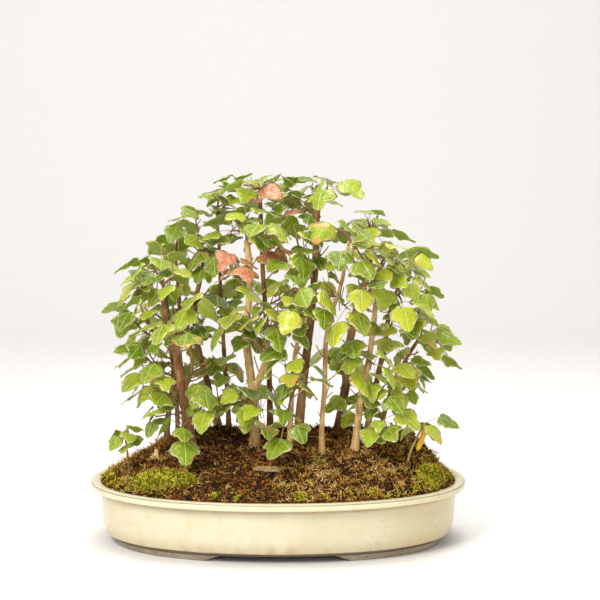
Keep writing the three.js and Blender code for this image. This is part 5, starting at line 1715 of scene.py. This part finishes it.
# %% Loose fibres and a pale root
spots = scatter(800, rng, 0.93)
spots = spots[(spots[:, 0] > 0) | (rng.random(len(spots)) < 0.5)]
turn = rng.uniform(0, 2 * np.pi, len(spots))
ways = np.stack([np.cos(turn), np.sin(turn), rng.uniform(0.1, 0.5, len(spots))], axis=-1)
bends = np.stack([-np.sin(turn), np.cos(turn), 0 * turn], axis=-1) * rng.normal(
    0, 0.7, (len(spots), 1)) - UP * 0.3
rings = threads(spots, ways, rng.uniform(5, 13, len(spots)), bends,
                rng.uniform(0.2, 0.34, len(spots)), (0, 0.2, 0.4, 0.6, 0.8, 1))
fibres = Bundle()
fibres.add(loft(rings), tint=spread(rng.uniform(0.4, 1.0, len(spots)), rings))
pale_root = np.array([(-103, -48, 94.5), (-100, -49, 97.6), (-96, -50, 97), (-92, -52, 93.5)])
fibres.add(loft(tube(pale_root[None], np.array([[[0.5], [0.9], [1.1], [0.6]]]), UP, 10)),
           tint=1.0)
fibres.piece("loose_fibres", [litter_finish], "soil")

# %% [markdown]
# ### Live moss
#
# Two broad cushions and a few small ones are alive, bright yellow-green with dark gaps.
# Each is a low pillow on the soil that carries short tufts, and a few of them stand beyond
# its edge, so the edge is lost in the litter.


# %% Cushions
def cushion_rings(at, half, turn, height, sides=96):
    """A pillow on the soil: its outline waves, and its height falls as the square root of
    what is left of the way out, to below the soil at the edge."""
    angle = around(sides)[None]
    share = np.concatenate([[1.0, 1.0, 0.98], np.linspace(0.94, 0.02, 20)])[:, None]
    wave = 1 + 0.1 * np.sin(3 * angle + 1) + 0.07 * np.sin(5 * angle) + 0.04 * np.sin(13 * angle)
    along, aside = half[0] * share * wave * np.cos(angle), half[1] * share * wave * np.sin(angle)
    x = at[0] + along * math.cos(turn) - aside * math.sin(turn)
    y = at[1] + along * math.sin(turn) + aside * math.cos(turn)
    flat = np.stack([x, y, 0 * x], axis=-1)
    puff = np.sqrt(np.clip(1 - share ** 2, 0, 1)) * (1 + 0.2 * ripple(flat, 9, 31))
    lumps = 0.55 * ripple(flat, 3.6, 32) * smoothstep(1, 0.8, share)
    z = mound_height(x, y) + height * puff + lumps
    z[0] -= 2.5
    return np.stack([x, y, z], axis=-1)


def cushion(name, at, half, turn, height, seed, replaces=()):
    """The pillow, and tufts on it, one to each 3 square mm, and a few round it."""
    rng = np.random.default_rng(seed)
    rings = cushion_rings(at, half, turn, height)
    bundle = Bundle()
    depth = 0.3 + 0.12 * ripple(rings, 3.6, 32)
    bundle.add(loft(rings[None]), tint=loft_values(depth[None]), live=1.0)
    bundle.piece(name, [litter_finish], "moss", replaces)
    count = int(math.pi * half[0] * half[1] / 3)
    angle, share = rng.uniform(0, 2 * np.pi, count), rng.random(count) ** 0.5 * 1.16
    column = (angle / (2 * np.pi) * rings.shape[1]).astype(int)
    row = np.clip(((1 - share) / 0.046).astype(int) + 2, 0, len(rings) - 1)
    centres = rings[row, column].copy()
    out = share > 1
    centres[out, :2] += (centres[out, :2] - at) * (share[out, None] - 1)
    centres[out, 2] = soil_top(centres[out, 0], centres[out, 1])
    tint = (0.76 + 0.14 * ripple(centres, 11, 33) + 0.36 * ripple(centres, 3.6, 32)
            + rng.normal(0, 0.06, count))
    tufts(name + "_tufts", "moss", centres, tint, rng.uniform(0.85, 1, count) - 0.4 * out,
          5, rng.uniform(1.6, 3.0, count), 0.42, rng)


cushion("fine_moss_left", (-122, -68), (38, 13), -0.36, 6, 5, ["moss_left"])
cushion("fine_moss_right", (160, -43), (28, 10), 1.05, 5, 6, ["moss_right"])
LIVE_SPOTS = [  # x, y and size of small green cushions
    (23, -106, 9), (97, -93, 8), (-63, -102, 6), (-40, -107, 5), (-184, 12, 9),
    (-178, -18, 7), (178, -6, 8), (-150, 62, 14), (60, 100, 12), (140, 66, 12), (-30, 107, 8)]
for number, (x, y, size) in enumerate(LIVE_SPOTS):
    cushion(f"moss_patch_{number + 1}", (x, y), (size, size * 0.6), 0.4 * number, 1.8,
            10 + number)

# %% [markdown]
# ## Stump, bark chip and drain meshes
#
# A pale stump is all that is left of a stem on the left, and a flat flake of bark lies in
# front of the trunks: two more tubes, one round and one nearly flat. The drain meshes are
# under the soil and keep the frame's shape; they only need the finish of moulded plastic.

# %% A pruned stump
# Its radius is 6 mm at the soil and narrows to 1.3 mm, with three and seven soft ribs.
t = np.linspace(0, 1, 16)[:, None]
turn = around(18)[None]
path = np.concatenate([-128.5 + 0.8 * t, -31 + 1.5 * t, 88 + 14.5 * t], axis=1)
radius = mix(6.2, 1.3, t ** 0.9) * (1 + 0.12 * np.sin(3 * turn + 1) + 0.05 * np.sin(7 * turn))
knee = Bundle()
knee.add(loft(tube(path[None], radius[None], BACKWARDS, 18)))
pale_wood = bark_finish("pale_wood", (0.4, 0.26, 0.1), (0.75, 0.58, 0.28))
knee.piece("pruned_stump", [pale_wood], "bark_tan")

# %% Bark chip
# Its half width follows a flattened sine from end to end, and its thickness too.
t = np.linspace(0, 1, 28)[:, None]
turn = around(16)[None]
half_width = 3.6 * np.sin(np.pi * t ** 0.8) ** 0.6 + 0.25
x = -25.5 + 41 * t + 0 * turn
y = -72.5 + half_width * np.cos(turn) + 0.8 * np.sin(7 * t + 1) + 1.5 * t
top = mound_height(x, y) + 1.9 + 0.5 * np.sin(5 * t)
z = top + 0.85 * np.sin(turn) * np.sin(np.pi * np.clip(t, 0.03, 0.97)) ** 0.3
flake = np.stack([x, y, z], axis=-1)
flake += 0.3 * ripple(flake, 6, 71)[..., None] * np.array([0.2, 0.8, 0.6])
chip = Bundle()
chip.add(loft(flake[None]))
chip_bark = bark_finish("chip_bark", (0.2, 0.13, 0.06), (0.52, 0.38, 0.19))
chip.piece("fine_bark_chip", [chip_bark], "chip", ["bark_chip"])

# %% Drain meshes
plastic = Finish("moulded_plastic")
wear = plastic.noise(plastic.object_place(), 300, 3)
plastic_finish = plastic.surface(
    Base_Color=plastic.blend(wear, (0.02, 0.024, 0.02), (0.05, 0.055, 0.05)),
    Roughness=0.5 + wear * 0.25, Normal=plastic.bump(wear, 0.0002, 0.4))
for name in ("drain_mesh_left", "drain_mesh_right"):
    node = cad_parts[name]
    node.data.materials.clear()
    node.data.materials.append(plastic_finish)
print("meshes finished")

# %% Sizes and finish
bpy.context.view_layer.update()
boxes = {"frame": frame_box, "fine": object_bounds()}
boxes = {name: [list(corner) for corner in box] for name, box in boxes.items()}
print(json.dumps(boxes))
